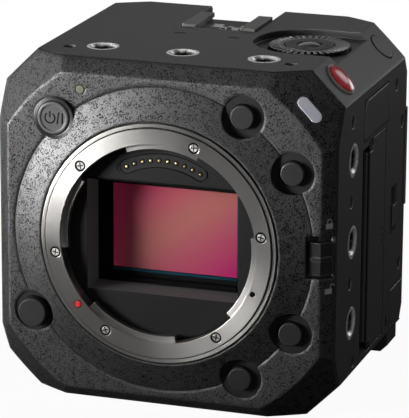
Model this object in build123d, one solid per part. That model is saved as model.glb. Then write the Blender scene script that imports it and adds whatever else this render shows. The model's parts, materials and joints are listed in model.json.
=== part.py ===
from build123d import *
import os
from math import cos, radians, sin, sqrt

# A box video camera body with an open lens mount, in millimetres.
# X runs to the right seen from the front, Y runs from the front to the back and Z runs up.
# The origin is in the base plane, under the lens axis and half way along the body.
# Most places along Y are given as a depth behind the flat front face.

# Body
body_width = 93.0
body_height = 93.0
body_depth = 73.9
edge_chamfer = 9.0
front_bevel_top = 3.9
front_bevel_side = 3.5
front_bevel_bottom = 3.2
front_corner_radius = 51.0
rear_bevel_side = 3.2
rear_bevel_top = 0.8
rear_corner_radius = 54.0
axis_height = 46.3

# Walls
skin = 1.6
frame_wall = 2.4
front_wall = 3.0
front_cover_depth = 10.4
bulkhead_wall = 2.5
rear_cover_depth = 6.0
rear_wall = 2.5
corner_wall = 3.6
slip = 0.2
gap = 0.3
past = 1.0

# Lens mount
seam_radius = 41.2
seam_gap = 0.15
boss_rise = 3.4
boss_seat_radius = 38.2
boss_seat_depth = 1.5
boss_bore_radius = 27.0
ring_radius = 32.2
ring_face_radius = 30.95
ring_step = 0.7
ring_groove_width = 0.35
ring_groove_depth = 0.8
ring_flange_drop = 0.4
ring_thickness = 3.2
throat_radius = 26.9
tab_inner_radius = 25.3
tab_setback = 1.5
tab_thickness = 1.7
tab_root = 0.3
tab_angles = [(66, 110), (144.5, 188), (225, 280), (-42.3, 8.5)]
ring_screw_circle = 28.6
ring_screw_angles = [137.5, 69.6, 9.5, -55.2, -120, -170.5]
ring_screw_head_radius = 1.45
ring_screw_shank_radius = 0.8
ring_screw_length = 5.0
ring_screw_head = 0.9
index_dot_angle = -140.1
index_dot_radius = 0.9
index_dot_depth = 0.6
lock_pin_angle = -22.4
lock_pin_radius = 0.7
lock_pin_hole = 0.8

# Light box and sensor, as distances behind the face of the lens mount ring
flange_distance = 20.0
light_box_setback = 4.3
light_box_radius = 26.8
light_box_face = 1.4
light_box_wall = 1.2
light_box_rim = 0.8
window_width = 41.6
window_height = 30.0
light_box_ledge_width = 35.0
light_box_ledge_length = 1.2
light_box_ledge_height = 1.4
light_box_ledge_edge = 0.4
mask_setback = 14.4
mask_thickness = 0.4
mask_opening_width = 34.6
mask_opening_height = 23.1
filter_width = 37.0
filter_height = 25.2
filter_thickness = 1.6
chip_width = 41.0
chip_height = 30.5
carrier_width = 66.0
carrier_height = 58.0
carrier_thickness = 2.0
sensor_board_inset = 2.0
carrier_post_radius = 2.2
contact_circle = 21.45
contact_first_angle = 117.4
contact_step_angle = 6.25
contact_count = 10
contact_pin_radius = 0.45
contact_pin_proud = 0.35
contact_block_half_width = 1.9
contact_block_length = 4.0
contact_lug = 1.0

# Buttons on the front
front_button_circle = 41.5
front_button_angles = [58.1, 31.2, -31.2, -58.1]
front_button_radius = 3.2
front_button_proud = 1.4
cup_radius = 5.6
cup_floor = 0.3
cup_flange_radius = 6.5
cup_flange = 0.8
button_flange_lip = 1.2
button_flange = 0.8
flange_room = 0.3
button_travel = 0.4
release_angle = -147.5
release_circle = 42.3
release_radius = 3.9
release_proud = 2.5
yoke_radius = 29.6
yoke_half_width = 1.2
yoke_thickness = 0.8
yoke_pad_radius = 2.0
yoke_run_on_angle = 3.0
power_angle = 134.0
power_circle = 42.7
power_ring_radius = 5.5
power_cap_radius = 4.45
power_proud = 1.3
power_lip = 0.4
power_dish_depth = 0.2
led_angle = 120.2
led_circle = 44.8
led_radius = 1.1
led_proud = 0.1
switch_radius = 2.2
board_thickness = 1.2
switch_board_inner = 38.4
switch_board_outer = 46.0

# Tally lamp on the upper right front corner
lamp_angle = 44.3
lamp_depth = 3.0
lamp_length = 7.8
lamp_width = 3.2
lamp_proud = 0.2

# Lock switch round the right front edge
lock_pocket_width = 7.3
lock_bottom = 40.1
lock_top = 51.6
lock_pocket = 1.9
lock_knob_height = 8.6
lock_knob_thickness = 1.5
lock_ridge = 0.6
lock_ridge_height = 1.1
lock_ridge_inset = 0.7
lock_stem_width = 1.4
lock_stem_height = 3.0
lock_travel = 1.6

# Threaded inserts for a quarter inch screw
insert_radius = 4.3
insert_length = 6.6
insert_bore = 2.6
insert_mouth = 3.5
insert_spacing = 22.2
top_insert_depth = 16.4
side_insert_depth = 17.7
side_insert_drop = 0.9
base_insert_spacing = 24.0
insert_pad_radius = 6.3
insert_pad = 4.2

# Case screws
case_screw_radius = 1.6
case_screw_fit = 0.1
case_screw_recess = 0.3
case_screw_head = 0.8
top_screw_x = 30.4
top_screw_depth = 13.2
side_screw_places = [(16.2, 56.9), (15.9, 34.7), (20.5, 12.0), (66.5, 66.5), (66.3, 26.0), (54.2, 12.6)]
side_screw_top_depths = [16.5, 60.0]
side_screw_top_drop = 14.75
base_screw_x = 32.0
base_screw_depths = [14.0, 60.0]

# Accessory shoe
shoe_channel_width = 21.4
shoe_channel_start = 45.8
shoe_floor_drop = 3.9
shoe_width = 20.6
shoe_start = 46.0
shoe_length = 16.4
shoe_slot_width = 18.6
shoe_lip_gap = 12.8
shoe_plate = 1.1
shoe_lip = 1.2
shoe_rise = 0.7
shoe_spring_width = 11.0
shoe_spring_length = 10.0
shoe_spring_thickness = 0.3
shoe_spring_arch = 0.7
shoe_pad = 2.3
shoe_spring_setback = 0.6

# Control dial
dial_x = 27.6
dial_depth = 39.75
well_radius = 15.05
well_drop = 1.9
dial_cup_radius = 11.15
dial_radius = 10.75
dial_rise = 1.1
dial_lift = 0.2
dial_tooth_count = 36
dial_tooth_inner = 8.1
dial_tooth_depth = 0.9
dial_tooth_gap = 0.8
collar_radius = 6.85
collar_running_gap = 0.05
cursor_radius = 6.6
cursor_thickness = 0.85
cursor_rise = 1.2
cursor_skirt_wall = 0.6
menu_radius = 3.4
menu_rise = 1.75
menu_dome = 0.9
menu_flange = 0.6

# Buttons on the upper chamfers
rec_depth = 18.9
rec_radius = 4.2
rec_proud = 1.9
rec_dome = 0.9
rec_bezel_radius = 4.7
rec_bezel_proud = 0.6
display_depth = 59.5
display_radius = 3.8
display_gap = 0.35
left_button_depths = [31.1, 45.8, 61.1]
left_button_radius = 3.2
chamfer_button_proud = 0.2
chamfer_button_lip = 0.8
plunger_gap = 0.1

# Cooling duct
vent_depth = 26.4
vent_width = 6.6
vent_bottom = 11.5
vent_top_drop = 25.0
sink_plate = 2.4
fin_thickness = 0.9
fin_count = 14
duct_wall = 1.2

# Microphones in the top
microphone_places = [(-8.2, 38.2), (7.1, 37.4)]
microphone_length = 3.1
microphone_width = 0.5
microphone_depth = 0.6

# Boards
main_board_depth = 37.0
rear_board_depth = 55.0
circuit_board = 1.6
spacer_width = 4.4

# Card door and its lock on the right
door_front = 33.2
door_rear = 49.4
door_bottom = 10.8
door_top_drop = 24.0
door_thickness = 1.4
door_pin_radius = 0.35
door_pin_gap = 0.06
card_slot_heights = [24.5, 53.5]
card_slot_depth = 42.5
card_slot_width = 24.8
card_slot_gap = 2.6
card_case_width = 27.0
card_case_length = 30.0
lock_slot_front = 57.0
lock_slot_rear = 61.6
lock_slot_bottom = 37.3
lock_slot_top = 49.8
card_lock_height = 5.6
card_lock_lift = 2.0

# Small covers on the right
port_cover_front = 28.0
port_cover_rear = 51.2
port_cover_height = 10.8
port_cover_top_drop = 12.0
port_cover_corner = 2.6
low_cover_front = 57.3
low_cover_rear = 70.7
low_cover_bottom = 9.0
low_cover_top = 20.6
edge_cap_bottom = 42.0
edge_cap_top = 69.5
edge_cap_front = 69.6
edge_cap_proud = 0.4

# Rear
battery_x = -15.5
battery_width = 44.0
battery_bottom = 14.5
battery_top_drop = 12.5
battery_proud = 0.8
battery_corner = 3.0
battery_rail_width = 3.0
battery_rail_length = 44.0
battery_rail_spacing = 34.0
battery_rail_depth = 1.6
battery_terminal_count = 5
battery_blade_width = 1.0
battery_blade_length = 3.0
battery_blade_proud = 0.2
battery_blade_inset = 1.0
battery_latch_radius = 4.0
battery_latch_height = 7.0
battery_latch_proud = 1.6
network_x = 24.5
network_drop = 17.5
network_width = 16.4
network_height = 14.0
network_opening_width = 12.0
network_opening_height = 8.2
network_opening_depth = 12.0
video_jack_x = 24.5
video_jack_drops = [42.5, 57.0]
video_jack_radius = 4.8
video_jack_proud = 8.6
video_jack_flange = 6.4
video_jack_flange_thickness = 1.2
video_jack_wall = 0.9
video_jack_hollow = 7.0
video_jack_core_radius = 1.6
video_jack_core_setback = 1.0
inlet_x = 24.5
inlet_drop = 73.0
inlet_radius = 4.6
inlet_bore = 2.9
inlet_pin_radius = 1.0
inlet_hollow = 9.0
inlet_pin_setback = 1.5
socket_proud = 0.1
foot_width = 8.0
foot_half_span = 44.2
foot_length = 9.2
foot_height = 7.9
foot_chamfer = 1.9

# Fits and hidden parts
running_gap = 0.15
cover_gap = 0.25
cap_edge = 0.3
flange_setback = 1.2
ring_run_out = 0.05
lamp_seat = 1.8
boss_ledge_radius = 25.6
boss_ledge_depth = 1.6
boss_top_radius = 32.9
boss_mouth_radius = 32.75
boss_mouth_depth = 1.0
boss_back = 3.0
stem_radius = 1.6
holder_width = 46.0
holder_height = 34.4
holder_lip = 0.8
carrier_post_x = 21.5
carrier_post_z = 25.8
bulkhead_depth = 22.9
sink_width = 72.0
sink_bottom = 12.0
sink_top_drop = 24.0
duct_depth = 33.6
board_side_gap = 8.5
board_bottom = 9.0
board_top_drop = 9.0
spacer_inset = 5.0
low_spacer_setback = 40.5
switch_height = 1.0
plunger_size = 2.6
chamfer_hole_margin = 1.2
chamfer_switch_depth = 3.3
chamfer_switch_thickness = 1.1
pan_wall = 1.2
dial_base_radius = 13.4
dial_base_height = 3.7
dial_floor_drop = 2.2
collar_drop = 0.55
skirt_radius = 6.0
skirt_drop = 1.5
menu_flange_radius = 4.2
menu_hole = 3.55
menu_stem_drop = 1.3
door_barrel = 1.1
lug_length = 2.0
upper_lug_length = 3.1
lug_reach = 3.4
lug_sink = 0.2
lug_gap = 0.1
card_lock_plate = 0.7
card_lock_lip = 1.0
card_lock_end = 1.4
card_lock_room = 0.75
card_lock_travel = 2.0
cap_thickness = 1.2
video_box_width = 15.0
video_box_height = 6.2
video_box_drop = 30.4
video_opening_width = 13.6
video_opening_height = 4.6
release_lip = 0.7
power_ring_proud = 0.9
power_dish_radius = 3.5
board_first_angle = -70.0
board_last_angle = 146.0
lock_pin_circle = 28.2
lock_end_inset = 0.4
lock_rest_z = 41.1
lock_knob_inset = 0.7
lock_wrap = 2.2
lock_stem_inset = 1.1
lock_keeper = 0.5
lock_keeper_lip = 0.6
lock_keeper_end = 1.0
ring_screw_seat = 1.0
contact_end = 1.7
contact_sink = 0.15
side_cover_proud = 0.1
edge_cap_wrap = 1.5
door_pocket = 2.5
card_lock_proud = 0.5
card_case_depth = 6.4
card_slot_length = 24.0
card_window_front = 36.9
card_window_rear = 47.4
card_window_bottom = 10.9
card_window_top_drop = 25.0
shoe_stop = 1.2
shoe_stop_drop = 0.3
menu_flange_gap = 0.4
battery_sink = 1.2
battery_terminal_width = 16.0
battery_terminal_proud = 2.5
terminal_height = 8.0
terminal_top_drop = 15.0
battery_latch_travel = 0.8


def at(depth):
    return depth - body_depth / 2


def block(x_low, x_high, near, far, z_low, z_high):
    centre = Pos((x_low + x_high) / 2, at((near + far) / 2), (z_low + z_high) / 2)
    return centre * Box(x_high - x_low, far - near, z_high - z_low)


def rod_y(radius, near, far, x, height):
    return Pos(x, at((near + far) / 2), height) * Rot(90, 0, 0) * Cylinder(radius, far - near)


def rod_z(radius, z_low, z_high, x, depth):
    return Pos(x, at(depth), (z_low + z_high) / 2) * Cylinder(radius, z_high - z_low)


def slab(outline, near, far):
    # An outline drawn in X and Z, made solid between two depths.
    back = Plane(origin=(0, at(far), 0), x_dir=(1, 0, 0), z_dir=(0, -1, 0))
    return extrude(back * outline, far - near)


def turned(profile):
    # Corners of radius and depth, spun about the lens axis.
    corners = [(radius, at(depth)) for radius, depth in profile]
    face = Pos(0, 0, axis_height) * make_face(Polyline(*corners, close=True))
    return revolve(face, Axis((0, 0, axis_height), (0, 1, 0)))


def around(radius, angle):
    return radius * cos(radians(angle)), axis_height + radius * sin(radians(angle))


def ring_sector(inner, outer, first, last):
    # A piece of a flat ring about the lens axis, between two angles.
    middle = (first + last) / 2
    rim = [(outer * cos(radians(a)), outer * sin(radians(a))) for a in (first, middle, last)]
    hub = [(inner * cos(radians(a)), inner * sin(radians(a))) for a in (last, middle, first)]
    edges = [ThreePointArc(*rim), Line(rim[2], hub[0]), ThreePointArc(*hub), Line(hub[2], rim[0])]
    return Pos(0, axis_height) * make_face(edges)


def octagon(inset):
    width = body_width - 2 * inset
    height = body_height - 2 * inset
    cut = edge_chamfer - inset * (2 - sqrt(2))
    outline = Pos(0, body_height / 2) * Rectangle(width, height)
    return chamfer(outline.vertices(), cut)


def bevel_half(depth, side, top, bottom, grow):
    width = body_width - 2 * side + 2 * grow
    height = body_height - top - bottom + 2 * grow
    middle = (body_height - top + bottom) / 2
    place = Plane(origin=(0, at(depth), middle), x_dir=(1, 0, 0), z_dir=(0, -1, 0))
    return place * Rectangle(width, height)


def bevelled_block():
    half = body_depth / 2
    front = [bevel_half(0, front_bevel_side, front_bevel_top, front_bevel_bottom, 0),
             bevel_half(half, front_bevel_side, front_bevel_top, front_bevel_bottom, half)]
    rear = [bevel_half(half, rear_bevel_side, rear_bevel_top, rear_bevel_top, half),
            bevel_half(body_depth, rear_bevel_side, rear_bevel_top, rear_bevel_top, 0)]
    return loft(front, ruled=True) + loft(rear, ruled=True)


def corner_cones(inset):
    half = body_depth / 2
    front = front_corner_radius - inset
    rear = rear_corner_radius - inset
    return turned([(0, 0), (front, 0), (front + half, half), (rear + half, half), (rear, body_depth),
                   (0, body_depth)])


def make_envelope():
    return slab(octagon(0), 0, body_depth) & bevelled_block() & corner_cones(0)


envelope = make_envelope()
half_width = body_width / 2
frame_rear = body_depth - rear_cover_depth
ring_face = -(boss_rise + ring_step)
ring_back = ring_face + ring_thickness
yoke_near = front_wall + cup_flange + slip
lock_inner_x = half_width - lock_pocket_width
lock_stem_x = lock_inner_x + lock_stem_inset
floor_z = body_height - well_drop
pan_bottom = floor_z - pan_wall
dial_base_bottom = pan_bottom - dial_base_height
dial_floor = floor_z - dial_floor_drop
skirt_bottom = floor_z - skirt_drop
menu_stem_bottom = floor_z - menu_stem_drop
vent_top = body_height - vent_top_drop
board_top = body_height - board_top_drop
board_half_width = half_width - board_side_gap
side_insert_height = body_height / 2 - side_insert_drop
sink_top = body_height - sink_top_drop
door_top = body_height - door_top_drop
lug_low = door_bottom + lug_length
lug_high = door_top - upper_lug_length
card_window_top = body_height - card_window_top_drop
port_cover_top = body_height - port_cover_top_drop
port_cover_bottom = port_cover_top - port_cover_height
battery_height = body_height - battery_top_drop - battery_bottom
battery_z = battery_bottom + battery_height / 2
battery_latch_z = battery_bottom + battery_latch_height
terminal_top = body_height - terminal_top_drop
terminal_bottom = terminal_top - terminal_height
network_z = body_height - network_drop
video_box_z = body_height - video_box_drop
video_jack_heights = [body_height - drop for drop in video_jack_drops]
inlet_z = body_height - inlet_drop


def skin_facing(x, z):
    # The part of the outer skin behind one flat side of the body.
    wanted = Vector(x, 0, z).normalized()
    flats = [face for face in envelope.faces() if (face.normal_at() - wanted).length < 0.01]
    largest = sorted(flats, key=lambda face: face.area)[-1]
    return extrude(largest, -skin)


top_skin = skin_facing(0, 1) + skin_facing(1, 1) + skin_facing(-1, 1)
base_skin = skin_facing(0, -1) + skin_facing(1, -1) + skin_facing(-1, -1)
right_skin = skin_facing(1, 0) - top_skin - base_skin
left_skin = skin_facing(-1, 0) - top_skin - base_skin
all_skins = [top_skin, base_skin, right_skin, left_skin]


def on_chamfer(side, depth):
    x = side * (body_width - edge_chamfer) / 2
    z = body_height - edge_chamfer / 2
    return Plane(origin=(x, at(depth), z), x_dir=(0, 1, 0), z_dir=(side, 0, 1)).location


def insert_places():
    # Every insert as a plane at the surface, facing out of the body.
    places = []
    for step in (-1, 0, 1):
        over = step * insert_spacing
        places.append(Plane(origin=(over, at(top_insert_depth), body_height), z_dir=(0, 0, 1)))
        for side in (-1, 1):
            spot = (side * half_width, at(side_insert_depth), side_insert_height + over)
            places.append(Plane(origin=spot, z_dir=(side, 0, 0)))
    for side in (-1, 1):
        places.append(Plane(origin=(0, side * base_insert_spacing / 2, 0), z_dir=(0, 0, -1)))
    return places


def sunk(place, radius, length):
    # A cylinder that runs inwards from a place on the surface.
    return place.location * Pos(0, 0, -length / 2) * Cylinder(radius, length)


def thread_inserts():
    pieces = []
    mouth_depth = insert_mouth - insert_bore
    for place in insert_places():
        body = sunk(place, insert_radius, insert_length) - sunk(place, insert_bore, insert_length + past)
        mouth = place.location * Pos(0, 0, -mouth_depth / 2) * Cone(insert_bore, insert_mouth, mouth_depth)
        pieces.append(body - mouth)
    return pieces


def insert_holes():
    return [sunk(place, insert_radius, insert_length) for place in insert_places()]


def insert_pads():
    cover = skin + frame_wall
    return [place.location * Pos(0, 0, -cover - insert_pad / 2) * Cylinder(insert_pad_radius, insert_pad)
            for place in insert_places()]


def screw_places():
    places = [Plane(origin=(side * top_screw_x, at(top_screw_depth), body_height), z_dir=(0, 0, 1))
              for side in (-1, 1)]
    for side in (-1, 1):
        top_places = [(depth, body_height - side_screw_top_drop) for depth in side_screw_top_depths]
        for depth, height in side_screw_places + top_places:
            places.append(Plane(origin=(side * half_width, at(depth), height), z_dir=(side, 0, 0)))
        for depth in base_screw_depths:
            places.append(Plane(origin=(side * base_screw_x, at(depth), 0), z_dir=(0, 0, -1)))
    return places


def case_screws():
    # Heads only: each sits in its own seat, a little below the surface.
    heads = []
    for place in screw_places():
        middle = -case_screw_recess - case_screw_head / 2
        heads.append(place.location * Pos(0, 0, middle) * Cylinder(case_screw_radius, case_screw_head))
    return heads


def screw_seats():
    seat = case_screw_recess + case_screw_head
    return [sunk(place, case_screw_radius + case_screw_fit, seat) for place in screw_places()]


def box_z(width, length, low, high, x, depth):
    return Pos(x, at(depth), (low + high) / 2) * Box(width, length, high - low)


def side_slab(points, x_low, x_high):
    # An outline of depths and heights on a side wall, made solid between two widths.
    corners = [(at(depth), height) for depth, height in points]
    outline = make_face(Polyline(*corners, close=True))
    place = Plane(origin=(x_low, 0, 0), x_dir=(0, 1, 0), z_dir=(1, 0, 0))
    return extrude(place * outline, x_high - x_low)


def edge_slab(points, z_low, z_high):
    # An outline of widths and depths, made solid between two heights.
    corners = [(x, at(depth)) for x, depth in points]
    outline = make_face(Polyline(*corners, close=True))
    return extrude(Pos(0, 0, z_low) * outline, z_high - z_low)


def mirrored(shape):
    return mirror(shape, Plane.YZ)


front_places = [around(front_button_circle, angle) for angle in front_button_angles]
release_place = around(release_circle, release_angle)
power_place = around(power_circle, power_angle)
led_place = around(led_circle, led_angle)
# Each button on an upper chamfer as its side, its depth and the radius of its hole.
chamfer_buttons = [(1, rec_depth, rec_bezel_radius), (1, display_depth, display_radius + display_gap)]
chamfer_buttons += [(-1, depth, left_button_radius + running_gap) for depth in left_button_depths]


def cup_holes(radius, near):
    places = front_places + [release_place]
    holes = [rod_y(radius, near, front_wall, x, z) for x, z in places]
    x, z = power_place
    return holes + [rod_y(power_ring_radius, near, front_wall, x, z)]


def flange_seats():
    # Room behind the front wall for the flanges of the cups and of the power ring.
    radius = cup_flange_radius + slip
    return [rod_y(radius, front_wall, front_wall + cup_flange + slip, x, z)
            for x, z in front_places + [release_place, power_place]]


def lamp_solid(grow, low, high):
    angle = radians(lamp_angle)
    reach = front_corner_radius + lamp_depth
    centre = (reach * cos(angle), at(lamp_depth), axis_height + reach * sin(angle))
    outward = (cos(angle), -1, sin(angle))
    place = Plane(origin=centre, x_dir=(-sin(angle), 0, cos(angle)), z_dir=outward)
    outline = SlotOverall(lamp_length + 2 * grow, lamp_width + 2 * grow)
    return extrude(place.offset(low) * outline, high - low)


def lamp_room():
    return lamp_solid(0, -lamp_seat, lamp_proud + past)


def lock_pocket_solid():
    # The pocket follows the front, the bevel and a short way past its end.
    level = lock_pocket
    bend = half_width - front_bevel_side - level * (sqrt(2) - 1)
    end_x = half_width - lock_end_inset - level / sqrt(2)
    end_depth = front_bevel_side - lock_end_inset + level / sqrt(2)
    away = level + past
    points = [(lock_inner_x, -past), (lock_inner_x, level), (bend, level), (end_x, end_depth),
              (end_x + away, end_depth - away), (end_x + away, -past)]
    return edge_slab(points, lock_bottom, lock_top)


def hollow_inside(near, far):
    return slab(octagon(skin + frame_wall), near, far) & corner_cones(corner_wall)


def cut_across(shape, direction, places):
    # The shape as separate solids that meet face to face, cut at the given widths or heights.
    reach = 2 * body_width
    parts = []
    for low, high in zip([-reach] + places, places + [reach]):
        if direction == "X":
            room = block(low, high, -reach, reach, -reach, reach)
        else:
            room = block(-reach, reach, -reach, reach, low, high)
        parts.append(shape & room)
    return parts


def slice_of_envelope(near, far):
    return envelope & block(-body_width, body_width, near, far, -past, body_height + past)


def front_cover():
    body = slice_of_envelope(-past, front_cover_depth) - all_skins
    body -= hollow_inside(front_wall, front_cover_depth)
    body -= rod_y(seam_radius, -past, boss_seat_depth, 0, axis_height)
    body -= rod_y(boss_seat_radius, 0, front_wall + past, 0, axis_height)
    body -= cup_holes(cup_radius, -past)
    body -= flange_seats()
    body -= rod_y(led_radius, -past, front_wall + past, *led_place)
    body -= lamp_room()
    body -= lock_pocket_solid()
    return body - lock_slot_solid()


def lock_slot_solid():
    low = lock_rest_z + lock_knob_height / 2 - lock_stem_height / 2 - running_gap
    high = low + lock_stem_height + lock_travel + 2 * running_gap
    return block(lock_stem_x - running_gap, lock_stem_x + lock_stem_width + running_gap,
                 0, front_wall + past, low, high)


def lock_slider():
    floor = lock_pocket - running_gap
    outer = floor - lock_knob_thickness
    root = sqrt(2) - 1
    edge = half_width - front_bevel_side
    wide = edge - floor * root
    reach = lock_wrap
    inner_x = lock_inner_x + lock_knob_inset
    tip = wide + reach
    across = lock_knob_thickness / sqrt(2)
    points = [(inner_x, outer), (inner_x, floor), (wide, floor), (tip, floor + reach),
              (tip + across, floor + reach - across), (edge - outer * root, outer)]
    knob = edge_slab(points, lock_rest_z, lock_rest_z + lock_knob_height)
    middle = lock_rest_z + lock_knob_height / 2
    start_x = inner_x + lock_ridge_inset
    end_x = tip + across - lock_ridge_inset / sqrt(2)
    end_depth = floor + reach - across - lock_ridge_inset / sqrt(2)
    lift = lock_ridge / sqrt(2)
    ridge_points = [(start_x, outer), (start_x, outer - lock_ridge),
                    (edge - (outer - lock_ridge) * root, outer - lock_ridge),
                    (end_x + lift, end_depth - lift), (end_x, end_depth), (edge - outer * root, outer)]
    ridge = edge_slab(ridge_points, middle - lock_ridge_height / 2, middle + lock_ridge_height / 2)
    return knob + ridge + lock_stem(middle)


def lock_stem(middle):
    # The stem through the front wall, with a flat behind the wall that keeps it in.
    half = lock_stem_height / 2
    near = lock_pocket - running_gap - slip
    back = front_wall + slip
    far = back + lock_keeper
    inner = lock_stem_x
    outer = lock_stem_x + lock_stem_width
    stem = block(inner, outer, near, far, middle - half, middle + half)
    reach = half + lock_keeper_end
    lip = lock_keeper_lip
    return stem + block(inner - lip, outer + lip, back, far, middle - reach, middle + reach)


def mount_disc():
    shelf = ring_back
    seat = ring_radius + ring_run_out
    rim = seam_radius - seam_gap
    inner_seat = boss_seat_radius - ring_run_out
    ledge = boss_mouth_depth - boss_rise
    body = turned([(boss_bore_radius, shelf), (seat, shelf), (seat, ledge), (boss_mouth_radius, ledge),
                   (boss_mouth_radius, -boss_rise), (boss_top_radius, -boss_rise), (rim, 0),
                   (rim, boss_seat_depth),
                   (inner_seat, boss_seat_depth), (inner_seat, boss_back), (boss_ledge_radius, boss_back),
                   (boss_ledge_radius, boss_ledge_depth), (boss_bore_radius, boss_ledge_depth)])
    body -= cup_holes(cup_radius, -boss_rise - past)
    body -= lock_pocket_solid()
    for angle in ring_screw_angles:
        x, z = around(ring_screw_circle, angle)
        body -= rod_y(ring_screw_shank_radius, shelf - past, ring_face + ring_screw_length, x, z)
    body -= lock_slot_solid()
    body -= light_box_outside(boss_ledge_depth, boss_back, slip)
    return body - lock_pin_bore()


def lock_pin_bore():
    x, z = around(lock_pin_circle, lock_pin_angle)
    return rod_y(lock_pin_hole, ring_face - past, boss_back + past, x, z)


def lens_mount_ring():
    # The flat face ends in a narrow groove, and a slightly lower flange runs round it.
    floor = ring_face + ring_groove_depth
    flange = ring_face + ring_flange_drop
    flange_inner = ring_face_radius + ring_groove_width
    body = turned([(throat_radius, ring_face), (ring_face_radius, ring_face), (ring_face_radius, floor),
                   (flange_inner, floor), (flange_inner, flange), (ring_radius, flange),
                   (ring_radius, ring_back), (throat_radius, ring_back)])
    for first, last in tab_angles:
        tab = ring_sector(tab_inner_radius, throat_radius + tab_root, first, last)
        near = ring_face + tab_setback
        body += slab(tab, near, near + tab_thickness)
    for angle in ring_screw_angles:
        x, z = around(ring_screw_circle, angle)
        seat = ring_face + ring_screw_seat
        body -= rod_y(ring_screw_head_radius + ring_run_out, ring_face - past, seat, x, z)
        body -= rod_y(ring_screw_shank_radius, ring_face, ring_back + past, x, z)
    x, z = around(ring_screw_circle, index_dot_angle)
    body -= rod_y(index_dot_radius, ring_face - past, ring_face + index_dot_depth, x, z)
    return body - lock_pin_bore()


def mount_screws():
    pieces = []
    for angle in ring_screw_angles:
        x, z = around(ring_screw_circle, angle)
        top = ring_face + ring_screw_seat - ring_screw_head
        head = rod_y(ring_screw_head_radius, top, ring_face + ring_screw_seat, x, z)
        pieces.append(head + rod_y(ring_screw_shank_radius, top, ring_face + ring_screw_length, x, z))
    return pieces


def mount_index_dot():
    x, z = around(ring_screw_circle, index_dot_angle)
    return rod_y(index_dot_radius, ring_face, ring_face + index_dot_depth, x, z)


def lock_pin():
    # The pin, and the curved lever behind the mount that the release button pushes.
    near = yoke_near
    far = near + yoke_thickness
    inner = yoke_radius - yoke_half_width
    outer = yoke_radius + yoke_half_width
    first = release_angle - yoke_run_on_angle
    arc = slab(ring_sector(inner, outer, first, lock_pin_angle + yoke_run_on_angle), near, far)
    pin_x, pin_z = around(lock_pin_circle, lock_pin_angle)
    pin_pad = rod_y(yoke_pad_radius, near, far, pin_x, pin_z)
    arm_length = release_circle - yoke_radius
    arm = Pos(yoke_radius + arm_length / 2, 0, 0) * Box(arm_length, far - near, 2 * stem_radius)
    turned_arm = Pos(0, at((near + far) / 2), axis_height) * Rot(0, -release_angle, 0) * arm
    pin = rod_y(lock_pin_radius, ring_face, far, pin_x, pin_z)
    return arc + pin_pad + turned_arm + pin


def lens_release_button():
    x, z = release_place
    near = flange_setback + cup_floor
    cap = capped_rod(release_radius, -release_proud, near + button_flange, x, z)
    flange = rod_y(release_radius + release_lip, near, near + button_flange, x, z)
    stem = rod_y(stem_radius, near, yoke_near, x, z)
    return cap + flange + stem


def capped_rod(radius, near, far, x, z):
    body = rod_y(radius, near, far, x, z)
    front = body.faces().sort_by(Axis.Y)[0]
    return chamfer(front.edges(), cap_edge)


def light_box_outside(near, far, grow):
    width = window_width / 2 + light_box_wall + grow
    height = window_height / 2 + light_box_wall + grow
    return block(-width, width, near, far, axis_height - height, axis_height + height)


def contact_sector(inner, outer, near, far):
    last = contact_first_angle + contact_end
    first = contact_first_angle - contact_step_angle * (contact_count - 1) - contact_end
    return slab(ring_sector(inner, outer, first, last), near, far)


def contact_slot(near, far):
    last = contact_first_angle + contact_end
    first = contact_first_angle - contact_step_angle * (contact_count - 1) - contact_end
    inner = contact_circle - contact_block_half_width
    outer = contact_circle + contact_block_half_width
    body = contact_sector(inner, outer, near, far)
    for angle in (first, last):
        x, z = around(contact_circle, angle)
        body += rod_y(contact_block_half_width, near, far, x, z)
    return body


def light_box():
    near = ring_face + light_box_setback
    seat = near + light_box_face
    far = ring_face + mask_setback
    face = rod_y(light_box_radius, near, seat, 0, axis_height)
    tube = light_box_outside(near, far, 0) & rod_y(light_box_radius, near, far, 0, axis_height)
    half = window_width / 2
    low = axis_height - window_height / 2
    opening = block(-half, half, near - past, far + past, low, low + window_height)
    opening &= rod_y(light_box_radius - light_box_rim, near - past, far + past, 0, axis_height)
    return face + tube - opening - contact_slot(near - past, seat + past) + light_box_ledge(far)


def light_box_ledge(far):
    # A low sill in front of the sensor, with its front edge cut off.
    half = light_box_ledge_width / 2
    low = axis_height - window_height / 2
    top = low + light_box_ledge_height
    sill = block(-half, half, far - light_box_ledge_length, far, low - light_box_wall / 2, top)
    edge = sill.edges().filter_by(Axis.X).sort_by(lambda line: line.center().Z - line.center().Y)[-1]
    return chamfer(edge, light_box_ledge_edge)


def contact_block():
    near = ring_face + light_box_setback + contact_sink
    seat = ring_face + light_box_setback + light_box_face
    outer = contact_circle + contact_block_half_width
    body = contact_slot(near, near + contact_block_length)
    body += contact_sector(outer - contact_lug, outer + contact_lug, seat, seat + contact_lug)
    return body - contact_pins()


def contact_pins():
    near = ring_face + light_box_setback + contact_sink
    pins = []
    for step in range(contact_count):
        x, z = around(contact_circle, contact_first_angle - contact_step_angle * step)
        pins.append(rod_y(contact_pin_radius, near - contact_pin_proud, near + contact_block_length, x, z))
    return pins


def centred_block(width, height, near, far):
    return block(-width / 2, width / 2, near, far, axis_height - height / 2, axis_height + height / 2)


def sensor_mask():
    near = ring_face + mask_setback
    plate = light_box_outside(near, near + mask_thickness, 0)
    far = near + mask_thickness + past
    return plate - centred_block(mask_opening_width, mask_opening_height, near - past, far)


def sensor_filter():
    near = ring_face + mask_setback + mask_thickness
    return centred_block(filter_width, filter_height, near, near + filter_thickness)


def filter_holder():
    near = ring_face + mask_setback + mask_thickness
    far = ring_face + flange_distance
    body = centred_block(holder_width, holder_height, near, far)
    body -= centred_block(filter_width, filter_height, near - past, near + filter_thickness)
    width = filter_width - 2 * holder_lip
    return body - centred_block(width, filter_height - 2 * holder_lip, near, far + past)


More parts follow.
